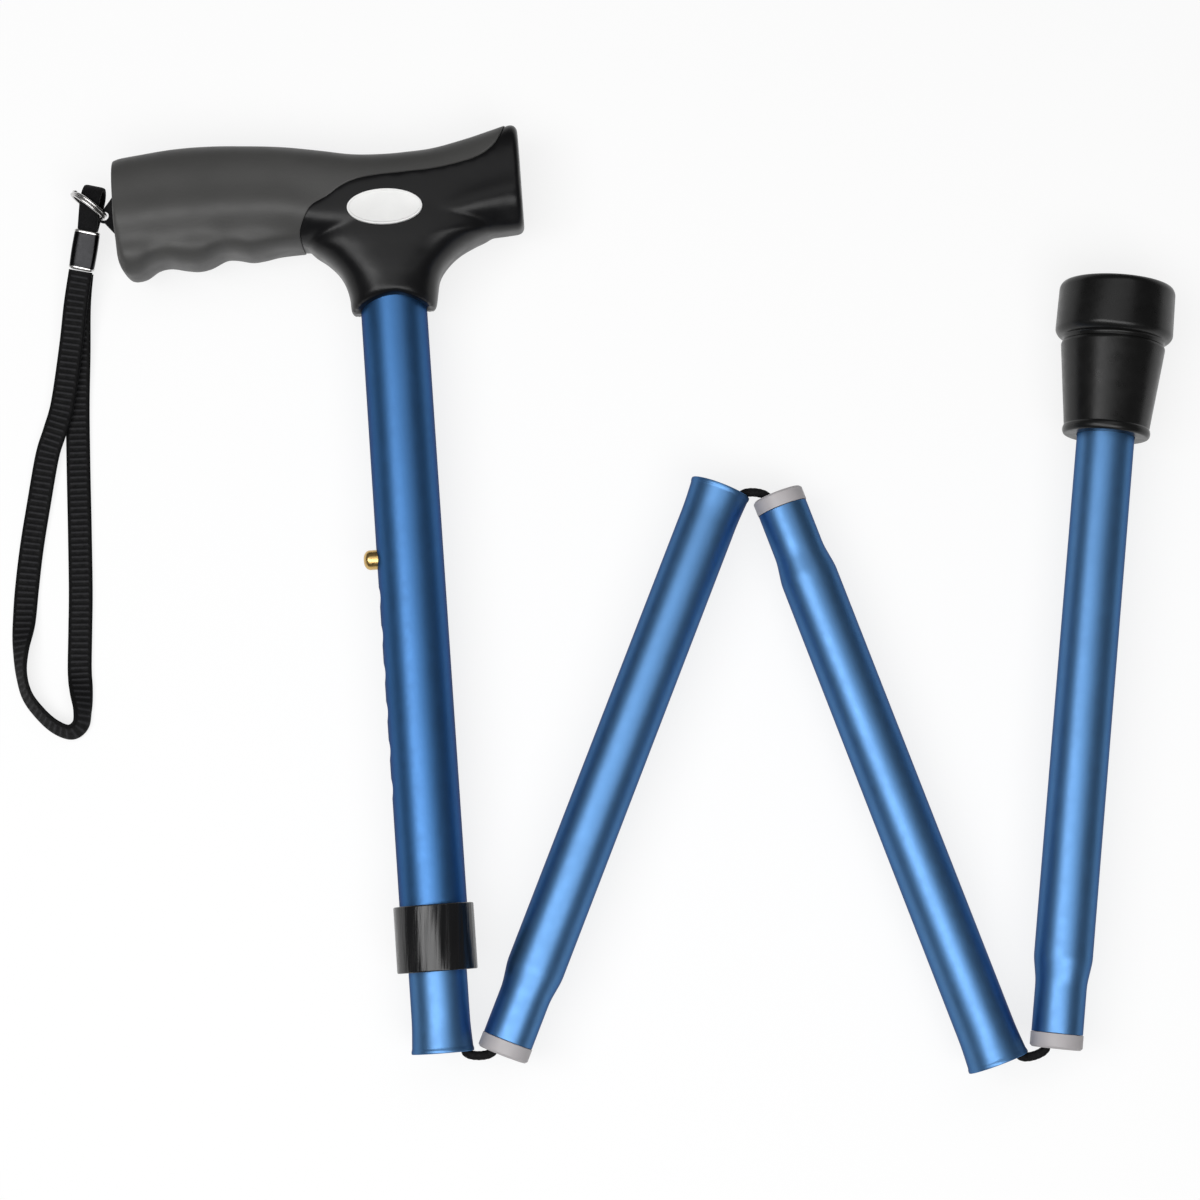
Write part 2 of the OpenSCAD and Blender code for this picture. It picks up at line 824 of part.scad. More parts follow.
module strap_tab() {
    color([0.05, 0.05, 0.055])
        lay_strap()
            translate([-loop_w / 2, 0, 0])
                rotate([quarter_turn, 0, quarter_turn])
                    linear_extrude(height = loop_w)
                        difference() {
                            loop_profile(loop_r + webbing_t, webbing_t + slip);
                            loop_profile(loop_r, slip);
                        }
}

module strap_crimp() {
    flat_w = crimp_w - crimp_t;
    color([0.25, 0.25, 0.26])
        lay_strap()
            translate([0, crimp_start, -loop_drop])
                rotate([-quarter_turn, 0, 0]) {
                    translate([-flat_w / 2, -crimp_t / 2, 0])
                        cube([flat_w, crimp_t, crimp_len]);
                    for (side = [-1, 1])
                        translate([side * flat_w / 2, 0, 0])
                            cylinder(h = crimp_len, d = crimp_t);
                }
}

// Route of the webbing from the crimp and back to it: shares of its reach to the side and down,
// height above the table in thicknesses, and how far the band is turned on edge
webbing_shares = [
    [0, 0, 6.25, 0], [-0.012, -0.07, 4.8, 0], [-0.023, -0.16, 3.25, 0], [-0.04, -0.283, 2.25, 0],
    [-0.056, -0.344, 2, 0], [-0.072, -0.398, 1.6, 0], [-0.09, -0.506, 0.8, 0], [-0.103, -0.6, 0.63, 0],
    [-0.111, -0.688, 0.63, 0], [-0.114, -0.758, 1.15, 12], [-0.117, -0.822, 2.2, 42],
    [-0.114, -0.873, 2.57, 56], [-0.1, -0.92, 2.63, 58], [-0.07, -0.959, 2.63, 58],
    [-0.038, -0.986, 2.63, 58], [-0.006, -0.997, 2.65, 60], [0.015, -0.981, 2.65, 60],
    [0.018, -0.949, 2.57, 54], [0.013, -0.908, 1.85, 30], [0.007, -0.86, 0.82, 4],
    [0.006, -0.777, 0.63, 0], [0.005, -0.688, 0.63, 0], [0, -0.554, 0.63, 0], [-0.006, -0.414, 0.63, 0],
    [-0.01, -0.287, 0.75, 0], [-0.009, -0.172, 1.6, 0], [-0.007, -0.07, 3.5, 0], [0, 0, 5, 0]
];
webbing_steps = 3;
webbing_edge_share = 0.3;
crimp_flat = ring_middle + turn(
    [0, crimp_end.y * cos(strap_dip) + crimp_end.z * sin(strap_dip)], strap_turn);
function route_spot(i) = webbing_shares[max(0, min(i, len(webbing_shares) - 1))];
function spline(a, b, c, d, t) =
    b + (c - a) * t / 2 + (2 * a - 5 * b + 4 * c - d) * pow(t, 2) / 2
    + (3 * b - a - 3 * c + d) * pow(t, 3) / 2;
function route_at(k) =
    let (i = floor(k / webbing_steps))
    let (t = (k - i * webbing_steps) / webbing_steps)
    spline(route_spot(i - 1), route_spot(i), route_spot(i + 1), route_spot(i + 2), t);
webbing_rings = (len(webbing_shares) - 1) * webbing_steps + 1;
function webbing_place(k) =
    let (spot = route_at(k))
    [crimp_flat.x + spot.x * strap_reach, crimp_flat.y + spot.y * strap_reach - 3 * slip,
        spot.z * webbing_t];
function unit(v) = v / norm(v);
half_band = webbing_w / 2;
band_edge = webbing_edge_share * webbing_t;
band_outline = [
    [half_band, band_edge], [half_band - band_edge, webbing_t / 2],
    [band_edge - half_band, webbing_t / 2], [-half_band, band_edge],
    [-half_band, -band_edge], [band_edge - half_band, -webbing_t / 2],
    [half_band - band_edge, -webbing_t / 2], [half_band, -band_edge]
];
function webbing_ring(k) =
    let (place = webbing_place(k))
    let (ahead = webbing_place(min(k + 1, webbing_rings - 1)) - webbing_place(max(k - 1, 0)))
    let (way = unit(ahead))
    let (flat_side = unit([-way.y, way.x, 0]))
    let (rise = cross(way, flat_side))
    let (bank = route_at(k)[3])
    let (across = cos(bank) * flat_side + sin(bank) * rise)
    let (through = cos(bank) * rise - sin(bank) * flat_side)
    [for (corner = band_outline) place + corner.x * across + corner.y * through];

module strap_webbing() {
    color([0.08, 0.08, 0.085])
        skin([for (k = [0 : webbing_rings - 1]) webbing_ring(k)]);
}

handle_core();
grip_cover();
handle_badge();
handle_pin();
outer_tube();
end_collar();
strap_anchor();
strap_ring();
strap_tab();
strap_crimp();
strap_webbing();
inner_tube();
guide_bush();
button_spring();
height_button();
cord_plug_top();
cord_knot_top();
elastic_upper();
cord_bend_upper();
second_tube();
second_collar();
elastic_second();
cord_bend_middle();
third_tube();
third_collar();
elastic_third();
cord_bend_lower();
fourth_tube();
fourth_collar();
elastic_fourth();
cord_plug_bottom();
cord_knot_bottom();
rubber_foot();
foot_washer();
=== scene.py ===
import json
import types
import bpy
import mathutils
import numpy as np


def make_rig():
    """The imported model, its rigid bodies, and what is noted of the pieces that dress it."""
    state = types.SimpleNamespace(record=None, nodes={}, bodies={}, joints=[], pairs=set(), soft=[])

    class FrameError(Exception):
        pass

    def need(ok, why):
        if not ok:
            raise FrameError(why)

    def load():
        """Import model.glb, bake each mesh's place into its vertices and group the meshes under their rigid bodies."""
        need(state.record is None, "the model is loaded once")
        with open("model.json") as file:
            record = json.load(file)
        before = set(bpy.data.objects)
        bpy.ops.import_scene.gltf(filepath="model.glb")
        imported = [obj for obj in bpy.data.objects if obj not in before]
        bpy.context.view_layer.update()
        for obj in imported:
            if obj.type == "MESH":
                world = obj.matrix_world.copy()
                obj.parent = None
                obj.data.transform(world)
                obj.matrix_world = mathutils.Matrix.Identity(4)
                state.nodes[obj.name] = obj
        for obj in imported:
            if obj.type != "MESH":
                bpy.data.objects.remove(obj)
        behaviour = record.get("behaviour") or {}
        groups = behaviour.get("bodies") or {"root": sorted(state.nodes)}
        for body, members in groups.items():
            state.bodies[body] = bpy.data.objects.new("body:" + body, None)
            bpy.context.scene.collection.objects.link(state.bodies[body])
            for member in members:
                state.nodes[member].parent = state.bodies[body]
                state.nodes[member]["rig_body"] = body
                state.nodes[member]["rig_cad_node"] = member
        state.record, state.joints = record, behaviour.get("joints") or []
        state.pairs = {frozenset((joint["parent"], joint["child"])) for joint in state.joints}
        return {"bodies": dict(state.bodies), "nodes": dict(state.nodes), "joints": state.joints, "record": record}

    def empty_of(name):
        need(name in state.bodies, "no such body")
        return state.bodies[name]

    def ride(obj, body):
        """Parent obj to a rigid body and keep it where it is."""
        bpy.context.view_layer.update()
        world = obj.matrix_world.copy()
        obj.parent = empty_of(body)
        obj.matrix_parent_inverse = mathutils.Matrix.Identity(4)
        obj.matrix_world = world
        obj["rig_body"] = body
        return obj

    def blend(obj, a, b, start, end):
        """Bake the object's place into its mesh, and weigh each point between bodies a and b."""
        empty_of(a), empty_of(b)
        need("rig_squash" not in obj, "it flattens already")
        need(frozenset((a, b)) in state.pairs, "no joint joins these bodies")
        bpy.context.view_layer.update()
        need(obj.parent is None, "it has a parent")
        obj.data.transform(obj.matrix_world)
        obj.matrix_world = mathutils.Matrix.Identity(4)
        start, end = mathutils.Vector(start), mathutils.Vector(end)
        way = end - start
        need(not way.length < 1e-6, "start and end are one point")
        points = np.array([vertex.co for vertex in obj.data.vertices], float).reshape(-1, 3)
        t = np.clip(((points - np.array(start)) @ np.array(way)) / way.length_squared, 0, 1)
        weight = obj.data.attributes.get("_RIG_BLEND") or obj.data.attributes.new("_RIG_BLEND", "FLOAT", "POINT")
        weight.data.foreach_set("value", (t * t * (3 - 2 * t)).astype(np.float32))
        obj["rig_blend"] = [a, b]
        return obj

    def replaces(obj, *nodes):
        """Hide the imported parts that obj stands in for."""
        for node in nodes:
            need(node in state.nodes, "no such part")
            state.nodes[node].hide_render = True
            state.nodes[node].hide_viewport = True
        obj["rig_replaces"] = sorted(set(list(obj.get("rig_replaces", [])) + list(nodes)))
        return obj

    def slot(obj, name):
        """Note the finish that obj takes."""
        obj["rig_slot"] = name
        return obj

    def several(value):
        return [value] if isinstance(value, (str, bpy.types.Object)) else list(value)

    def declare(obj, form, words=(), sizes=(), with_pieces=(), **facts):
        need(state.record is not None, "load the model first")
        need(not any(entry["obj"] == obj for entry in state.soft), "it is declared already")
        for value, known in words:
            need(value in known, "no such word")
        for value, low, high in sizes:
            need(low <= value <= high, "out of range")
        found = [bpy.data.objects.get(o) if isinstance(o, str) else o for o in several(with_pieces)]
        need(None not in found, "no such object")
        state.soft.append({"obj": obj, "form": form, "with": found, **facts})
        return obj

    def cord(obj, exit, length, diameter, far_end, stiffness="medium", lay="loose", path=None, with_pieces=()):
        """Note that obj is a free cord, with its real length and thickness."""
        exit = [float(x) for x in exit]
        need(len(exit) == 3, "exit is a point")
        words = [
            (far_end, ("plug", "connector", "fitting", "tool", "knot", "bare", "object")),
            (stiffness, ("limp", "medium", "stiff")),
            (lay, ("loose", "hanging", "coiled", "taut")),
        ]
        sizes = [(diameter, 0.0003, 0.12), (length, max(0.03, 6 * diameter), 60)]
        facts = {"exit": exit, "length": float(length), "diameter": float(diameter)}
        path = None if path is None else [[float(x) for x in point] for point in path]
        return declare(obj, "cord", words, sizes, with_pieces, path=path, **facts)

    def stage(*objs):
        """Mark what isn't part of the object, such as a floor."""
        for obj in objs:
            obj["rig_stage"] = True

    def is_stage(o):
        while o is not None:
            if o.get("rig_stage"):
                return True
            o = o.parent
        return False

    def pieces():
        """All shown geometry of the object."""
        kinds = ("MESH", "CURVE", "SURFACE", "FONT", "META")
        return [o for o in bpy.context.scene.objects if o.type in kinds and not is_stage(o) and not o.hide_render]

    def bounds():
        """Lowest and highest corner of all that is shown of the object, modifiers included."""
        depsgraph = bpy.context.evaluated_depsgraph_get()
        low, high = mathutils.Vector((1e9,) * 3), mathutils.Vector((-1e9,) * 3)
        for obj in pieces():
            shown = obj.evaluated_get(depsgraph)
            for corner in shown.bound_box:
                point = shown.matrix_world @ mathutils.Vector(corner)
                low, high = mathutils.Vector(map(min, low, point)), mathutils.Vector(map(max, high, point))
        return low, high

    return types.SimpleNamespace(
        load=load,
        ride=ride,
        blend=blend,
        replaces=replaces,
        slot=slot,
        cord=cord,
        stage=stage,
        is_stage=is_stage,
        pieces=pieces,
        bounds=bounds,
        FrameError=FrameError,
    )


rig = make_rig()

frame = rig.load()

import json
from math import acos, asin, ceil, cos, exp, hypot, pi, radians, sin

import bmesh
import bpy
from mathutils import Matrix, Vector

bl_info = {
    "name": "Folding cane",
    "version": (1, 0, 0),
    "blender": (4, 5, 0),
    "location": "View3D > Sidebar > Cane",
    "description": "Dresses the packed frame of a half-folded walking cane",
    "category": "Object",
}

CAD_BOX = [list(corner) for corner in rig.bounds()]
JOINTS = {joint["name"]: joint for joint in frame["joints"]}
MM = 0.001
# A length under this counts as none
TINY = 1e-7
# Play between a tube and a piece that is fixed on it or in it
FIT = 0.06 * MM


def length(name, description, millimetres):
    """A size of the cane, shown in the scene's own unit."""
    return bpy.props.FloatProperty(
        name=name, description=description, default=millimetres * MM, unit="LENGTH", precision=5
    )


def colour(name, description, default):
    """A colour of one of the cane's finishes."""
    return bpy.props.FloatVectorProperty(
        name=name, description=description, default=default, subtype="COLOR", min=0, max=1
    )


class CaneSizes(bpy.types.PropertyGroup):
    """Sizes of the pieces that are modelled here; they follow the part's own source."""

    outer_od: length("Outer tube", "Outside diameter of the outer tube", 22.2)
    tube_od: length("Tube", "Outside diameter of the inner tube and the lower sections", 19.05)
    tube_wall: length("Tube wall", "Wall of the inner tube and the lower sections", 0.9)
    mouth_flare: length("Mouth flare", "How far a socket's mouth opens, on the radius", 0.7)
    flare_len: length("Flare length", "Length of a flared mouth", 9)
    spigot_od: length("Spigot", "Outside diameter of a drawn-down end", 16.7)
    spigot_len: length("Spigot length", "Length of a drawn-down end with its collar", 20)
    taper_len: length("Taper length", "Length over which a tube is drawn down", 10)
    section_len: length("Section length", "Length of the second and third sections", 200)
    foot_section_len: length("Fourth section", "Length of the fourth section up to its foot", 203)
    inner_len: length("Inner tube length", "Length of the inner tube", 200)
    mouth_gap: length("Mouth gap", "Gap from a mouth to its fold's line", 0.2)
    collar_gap: length("Collar gap", "Gap from a collar to its fold's line", 2.4)
    neck_height: length("Neck height", "Height of the neck's rim above the inner tube's mouth", 246)
    button_height: length("Button height", "Height of the button above the inner tube's mouth", 163)
    button_d: length("Button", "Diameter of the height button", 6.6)
    button_proud: length("Button reach", "How far the button stands out of the outer tube", 4.4)
    sleeve_start: length("End collar height", "Height of the end collar above the mouth", 26.3)
    sleeve_len: length("End collar length", "Length of the end collar", 21.6)
    sleeve_od: length("End collar", "Outside diameter of the end collar", 26.3)
    handle_len: length("Handle length", "Length of the handle", 136)
    handle_h: length("Handle height", "Height of the handle above the neck's rim", 61)
    handle_w: length("Handle thickness", "Thickness of the handle", 33)
    grip_reach: length("Grip reach", "Reach of the grip from the tube's axis", 90.4)
    grip_wall: length("Cover wall", "Wall of the soft cover", 3)
    end_round: length("Grip end", "Rounding of the grip's toe", 4)
    nose_round: length("Nose end", "Rounding of the nose's end", 2.2)
    badge_len: length("Badge length", "Length of the blank badge", 25)
    badge_h: length("Badge height", "Height of the blank badge", 12)
    anchor_reach: length("Anchor reach", "Reach of the anchor's hole from the grip's end", 5)
    anchor_t: length("Anchor thickness", "Thickness of the anchor tab", 2)
    anchor_hole: length("Anchor hole", "Radius of the hole in the anchor tab", 1.6)
    ring_r: length("Split ring", "Mean radius of the split ring", 6.5)
    ring_wire: length("Ring wire", "Thickness of the split ring's wire", 1.2)
    webbing_w: length("Webbing width", "Width of the strap's webbing", 8)
    webbing_t: length("Webbing thickness", "Thickness of the strap's webbing", 1.6)
    strap_reach: length("Strap reach", "Reach of the webbing's loop from the crimp", 157)
    rib_pitch: length("Rib pitch", "Spacing of the webbing's cross ribs", 2.1)
    loop_w: length("Loop width", "Width of the loop through the ring", 6.6)
    crimp_len: length("Crimp length", "Length of the strap's crimp", 13.7)
    crimp_w: length("Crimp width", "Width of the strap's crimp", 8.8)
    crimp_t: length("Crimp thickness", "Thickness of the strap's crimp", 4.4)
    cord_d: length("Elastic", "Diameter of the elastic cord", 3)
    plug_len: length("Plug length", "Length of a plug inside a tube", 8)
    collar_od: length("Collar", "Outside diameter of a section's collar", 17.1)
    collar_bore: length("Collar hole", "Diameter of the hole through a collar", 10)
    collar_len: length("Collar length", "Length of a collar that shows", 5)
    foot_d: length("Foot", "Diameter of the foot at its ground end", 39)
    foot_h: length("Foot height", "Height of the whole foot", 51.5)
    foot_seat: length("Foot socket", "Depth of the tube in the foot", 36)


class CaneColours(bpy.types.PropertyGroup):
    """Colours of the cane's finishes."""

    grip: colour("Grip", "Soft cover of the handle", (0.054, 0.0535, 0.052))
    core: colour("Core", "Moulded handle core", (0.004, 0.004, 0.0045))
    badge: colour("Badge", "Face of the blank badge", (0.83, 0.83, 0.82))
    anodised: colour("Anodised", "Blue anodised tubes of the lower sections", (0.095, 0.23, 0.46))
    outer: colour("Outer tube", "Blue anodised outer tube", (0.05, 0.155, 0.36))
    sleeve: colour("End collar", "Black end collar", (0.005, 0.005, 0.0055))
    brass: colour("Brass", "Height button", (0.62, 0.42, 0.16))
    nickel: colour("Nickel", "Split ring and crimp edges", (0.62, 0.61, 0.6))
    crimp: colour("Crimp", "Dark crimp", (0.02, 0.02, 0.021))
    webbing: colour("Webbing", "Strap webbing", (0.0055, 0.0055, 0.006))
    elastic: colour("Elastic", "Elastic cord", (0.006, 0.006, 0.0065))
    collar: colour("Collar", "Collars of the lower sections", (0.42, 0.4, 0.41))
    foot: colour("Foot", "Rubber foot", (0.004, 0.004, 0.004))
    steel: colour("Steel", "Hidden pin, spring and disc", (0.5, 0.5, 0.52))
    nylon: colour("Nylon", "Hidden plugs and bush", (0.68, 0.68, 0.66))


def sizes():
    """The cane's sizes, in metres."""
    return bpy.context.scene.cane_sizes


def paint(name):
    """One of the cane's colours, opaque."""
    return tuple(getattr(bpy.context.scene.cane_colours, name)) + (1.0,)


# Fold and seat that each lower section hangs on, and the side of the fold that it lies on
SECTIONS = {
    "second": ("upper_fold", "upper_seat", 1),
    "third": ("middle_fold", "middle_seat", -1),
    "fourth": ("lower_fold", "lower_seat", 1),
}


def section(name):
    """Frame of a section: its Z runs along it, its X across it and its Y down to the table."""
    size = sizes()
    if name == "handle":
        fold, way, gap = "upper_fold", -1, size.mouth_gap
        along = -Vector(JOINTS["height_setting"]["axis"])
    else:
        fold, seat, way = SECTIONS[name]
        gap = size.collar_gap
        along = Vector(JOINTS[seat]["axis"])
    across = Vector((along.y, -along.x, 0))
    start = Vector(JOINTS[fold]["pos_m"]) + way * size.tube_od / 2 * across + gap * along
    return Matrix((
        (across.x, 0, along.x, start.x),
        (across.y, 0, along.y, start.y),
        (across.z, -1, along.z, start.z),
        (0, 0, 0, 1),
    ))


def eased(table, at, column=1):
    """Value of a table of shares at one share along it, on a smooth curve through its rows."""
    last = len(table) - 1
    at = min(max(at, table[0][0]), table[last][0])
    i = max(k for k in range(last) if table[k][0] <= at)

    def slope(k):
        before, after = table[max(k - 1, 0)], table[min(k + 1, last)]
        return (after[column] - before[column]) / (after[0] - before[0])

    span = table[i + 1][0] - table[i][0]
    t = (at - table[i][0]) / span
    low, high = table[i][column], table[i + 1][column]
    return (
        low * (1 + 2 * t) * (1 - t) ** 2
        + high * (3 - 2 * t) * t * t
        + span * slope(i) * t * (1 - t) ** 2
        - span * slope(i + 1) * t * t * (1 - t)
    )


def spline(rows, at):
    """Row at a place along a table, counted in rows, on a smooth curve through them."""
    i = min(int(at), len(rows) - 2)
    t = at - i
    around = (rows[min(max(i + k, 0), len(rows) - 1)] for k in (-1, 0, 1, 2))
    return tuple(
        q
        + (r - p) * t / 2
        + (2 * p - 5 * q + 4 * r - s) * t * t / 2
        + (3 * q - p - 3 * r + s) * t ** 3 / 2
        for p, q, r, s in zip(*around)
    )


def swell(value, roundness):
    """A sine or cosine, swollen so that its circle turns towards a square."""
    return (1 if value > 0 else -1) * abs(value) ** roundness


def heading(path, i):
    """The way that a path heads at one of its points."""
    ahead = path[min(i + 1, len(path) - 1)] - path[max(i - 1, 0)]
    return ahead.normalized()


def loft(rows, sides, point, closed=False, mark=None):
    """A skin laid along a piece and round it; its ends are capped, or joined where it is closed."""
    bm = bmesh.new()
    layer = bm.verts.layers.float.new("rib") if mark else None
    grid = bmesh.ops.create_grid(bm, x_segments=sides, y_segments=rows - 1, size=1)["verts"]
    for vert in grid:
        row = round((vert.co.y + 1) / 2 * (rows - 1))
        side = round((vert.co.x + 1) / 2 * sides) % sides
        vert.co = point(0 if closed and row == rows - 1 else row, side)
        if mark:
            vert[layer] = mark(row, side)
    bmesh.ops.remove_doubles(bm, verts=grid, dist=TINY)
    if not closed:
        bmesh.ops.holes_fill(bm, edges=[edge for edge in bm.edges if edge.is_boundary], sides=0)
    bmesh.ops.recalc_face_normals(bm, faces=bm.faces)
    return bm


# Largest share of a straight edge that the rounding of a corner takes
CORNER_SHARE = 0.48


def rounded(corners, steps=6):
    """Outline with its corners rounded; each corner is a radius, a height and its rounding."""
    points = []
    count = len(corners)
    for i, (r, z, around) in enumerate(corners):
        here = Vector((r, z))
        before = Vector(corners[i - 1][:2]) - here
        after = Vector(corners[(i + 1) % count][:2]) - here
        reach = min(around, CORNER_SHARE * before.length, CORNER_SHARE * after.length)
        if reach <= 0:
            points.append(here)
            continue
        start, stop = here + before.normalized() * reach, here + after.normalized() * reach
        for k in range(steps + 1):
            t = k / steps
            points.append(start * (1 - t) ** 2 + here * 2 * t * (1 - t) + stop * t * t)
    return points


def turned(name, corners, place, material, body, node, slot, turns=96):
    """A turned piece: its outline of radius and height, spun about the Z axis of its place."""
    bm = bmesh.new()
    verts = [bm.verts.new((max(p.x, 0), 0, p.y)) for p in rounded(corners)]
    edges = []
    for vert, partner in zip(verts, verts[1:] + verts[:1]):
        on_axis = max(vert.co.x, partner.co.x) < TINY
        if not on_axis and (vert.co - partner.co).length > TINY:
            edges.append(bm.edges.new((vert, partner)))
    bmesh.ops.spin(
        bm, geom=verts + edges, cent=(0, 0, 0), axis=(0, 0, 1), angle=2 * pi, steps=turns, use_merge=True
    )
    bmesh.ops.remove_doubles(bm, verts=bm.verts, dist=TINY)
    bmesh.ops.recalc_face_normals(bm, faces=bm.faces)
    return finish_piece(bm, name, place, material, body, node, slot)


def finish_piece(bm, name, place, material, body, node, slot, sharp=40):
    """Makes the mesh a piece in its place, with its finish, riding on its body for its node."""
    bmesh.ops.transform(bm, matrix=place, verts=bm.verts)
    mesh = bpy.data.meshes.new(name)
    bm.to_mesh(mesh)
    bm.free()
    mesh.shade_smooth()
    mesh.set_sharp_from_angle(angle=radians(sharp))
    for one in material if isinstance(material, tuple) else (material,):
        mesh.materials.append(one)
    piece = bpy.data.objects.new(name, mesh)
    bpy.context.scene.collection.objects.link(piece)
    if body:
        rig.ride(piece, body)
    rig.replaces(piece, node)
    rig.slot(piece, slot)
    return piece


def dress(node, material):
    """Gives a node that keeps its own shape its finish."""
    mesh = frame["nodes"][node].data
    mesh.materials.clear()
    mesh.materials.append(material)


# Stretch of a noise over which a shade, or a roughness, goes from its low end to its high end
SHADE_SPAN = (0.32, 0.68)
ROUGH_SPAN = (0.3, 0.7)


class Finish:
    """A procedural material under construction: one Principled shader and its texture nodes."""

    def __init__(self, name):
        self.material = bpy.data.materials.new(name)
        self.material.use_nodes = True
        self.tree = self.material.node_tree
        self.shader = self.tree.nodes["Principled BSDF"]
        self.place = self.tree.nodes.new("ShaderNodeTexCoord").outputs["Object"]

    def set(self, **values):
        """Sets plain values on the shader's own sockets."""
        for name, value in values.items():
            self.shader.inputs[name.replace("_", " ")].default_value = value

    def noise(self, scale, detail=4, stretch=(1, 1, 1), turn=0.0):
        """Noise over the piece, stretched and turned about the vertical where a grain has a way."""
        mapping = self.tree.nodes.new("ShaderNodeMapping")
        mapping.inputs["Rotation"].default_value = (0, 0, turn)
        mapping.inputs["Scale"].default_value = stretch
        noise = self.tree.nodes.new("ShaderNodeTexNoise")
        noise.inputs["Scale"].default_value = scale
        noise.inputs["Detail"].default_value = detail
        self.tree.links.new(self.place, mapping.inputs["Vector"])
        self.tree.links.new(mapping.outputs["Vector"], noise.inputs["Vector"])
        return noise.outputs["Fac"]

    def tint(self, factor, base, stops):
        """Base colour in shades along a factor; each stop is a place and a share of the colour."""
        node = self.tree.nodes.new("ShaderNodeValToRGB")
        ramp = node.color_ramp.elements
        ramp[0].position, ramp[1].position = stops[0][0], stops[-1][0]
        for at, share in stops[1:-1]:
            ramp.new(at)
        for stop, (at, share) in zip(ramp, stops):
            stop.color = tuple(min(c * share, 1) for c in base[:3]) + (1,)
        self.tree.links.new(factor, node.inputs["Fac"])
        self.tree.links.new(node.outputs["Color"], self.shader.inputs["Base Color"])

    def cloud(self, factor, base, spread):
        """Base colour that wanders between a darker and a lighter shade."""
        self.tint(factor, base, tuple(zip(SHADE_SPAN, spread)))

    def roughness(self, factor, rough):
        """Roughness that wanders between two values."""
        node = self.tree.nodes.new("ShaderNodeMapRange")
        node.inputs["From Min"].default_value, node.inputs["From Max"].default_value = ROUGH_SPAN
        node.inputs["To Min"].default_value, node.inputs["To Max"].default_value = rough
        self.tree.links.new(factor, node.inputs["Value"])
        self.tree.links.new(node.outputs["Result"], self.shader.inputs["Roughness"])

    def bump(self, factor, strength, distance):
        """Fine relief from a factor."""
        node = self.tree.nodes.new("ShaderNodeBump")
        node.inputs["Strength"].default_value = strength
        node.inputs["Distance"].default_value = distance
        self.tree.links.new(factor, node.inputs["Height"])
        self.tree.links.new(node.outputs["Normal"], self.shader.inputs["Normal"])


def moulded(name, base, grain, rough, gloss, bump=0.15, spread=(0.85, 1.2)):
    """Moulded plastic or rubber with a fine grain."""
    made = Finish(name)
    made.cloud(made.noise(grain), base, spread)
    made.roughness(made.noise(grain * 6), rough)
    made.bump(made.noise(grain * 40, detail=2), bump, 0.06 * MM)
    made.set(Specular_IOR_Level=gloss)
    return made.material


def metal(name, base, rough, grain=60, edge=(1, 1, 1), spread=(0.94, 1.06), coat=0.0):
    """Metal with a fine satin grain; edge tints it where it is seen at a slant."""
    made = Finish(name)
    made.cloud(made.noise(grain), base, spread)
    made.roughness(made.noise(grain * 9), rough)
    made.bump(made.noise(grain * 60, detail=2), 0.04, 0.02 * MM)
    made.set(Metallic=1.0, Specular_Tint=edge + (1,), Coat_Weight=coat, Coat_Roughness=0.32)
    return made.material


def woven(name, base, fibres, gloss, sheen):
    """Woven or braided yarn: fine fibres with a soft sheen."""
    made = Finish(name)
    fibre = made.noise(fibres, detail=3)
    made.cloud(fibre, base, (0.55, 1.7))
    made.roughness(made.noise(fibres / 4), (0.62, 0.85))
    made.bump(fibre, 0.35, 0.12 * MM)
    made.set(Specular_IOR_Level=gloss, Sheen_Weight=sheen, Sheen_Roughness=0.4)
    return made.material


# Camera over the table, in metres, radians and millimetres of lens
CAMERA_SPOT = (-0.0119, -0.1187, 0.9624)
CAMERA_TILT = radians(7)
CAMERA_LENS = 85.95
# Half the floor's width, and how far it lies under the cane
FLOOR_HALF = 6.0
FLOOR_DROP = 0.3 * MM
# Grey of the paper as it lights the cane and as it is seen, and how much of what is seen is plain white
PAPER_GREY = (0.5, 0.5, 0.5, 1)
PAPER_PALE = (0.95, 0.95, 0.95, 1)
PAPER_WHITE = 0.78
# Strength of the sky, size of the lamps, and the name, place and power of each
SKY = 0.13
LAMP_WIDE, LAMP_DEEP = 1.6, 0.55
LAMPS = (("near", (-0.13, -0.3, 1.0), 11.5), ("far", (-0.13, 0.32, 1.0), 2.7))


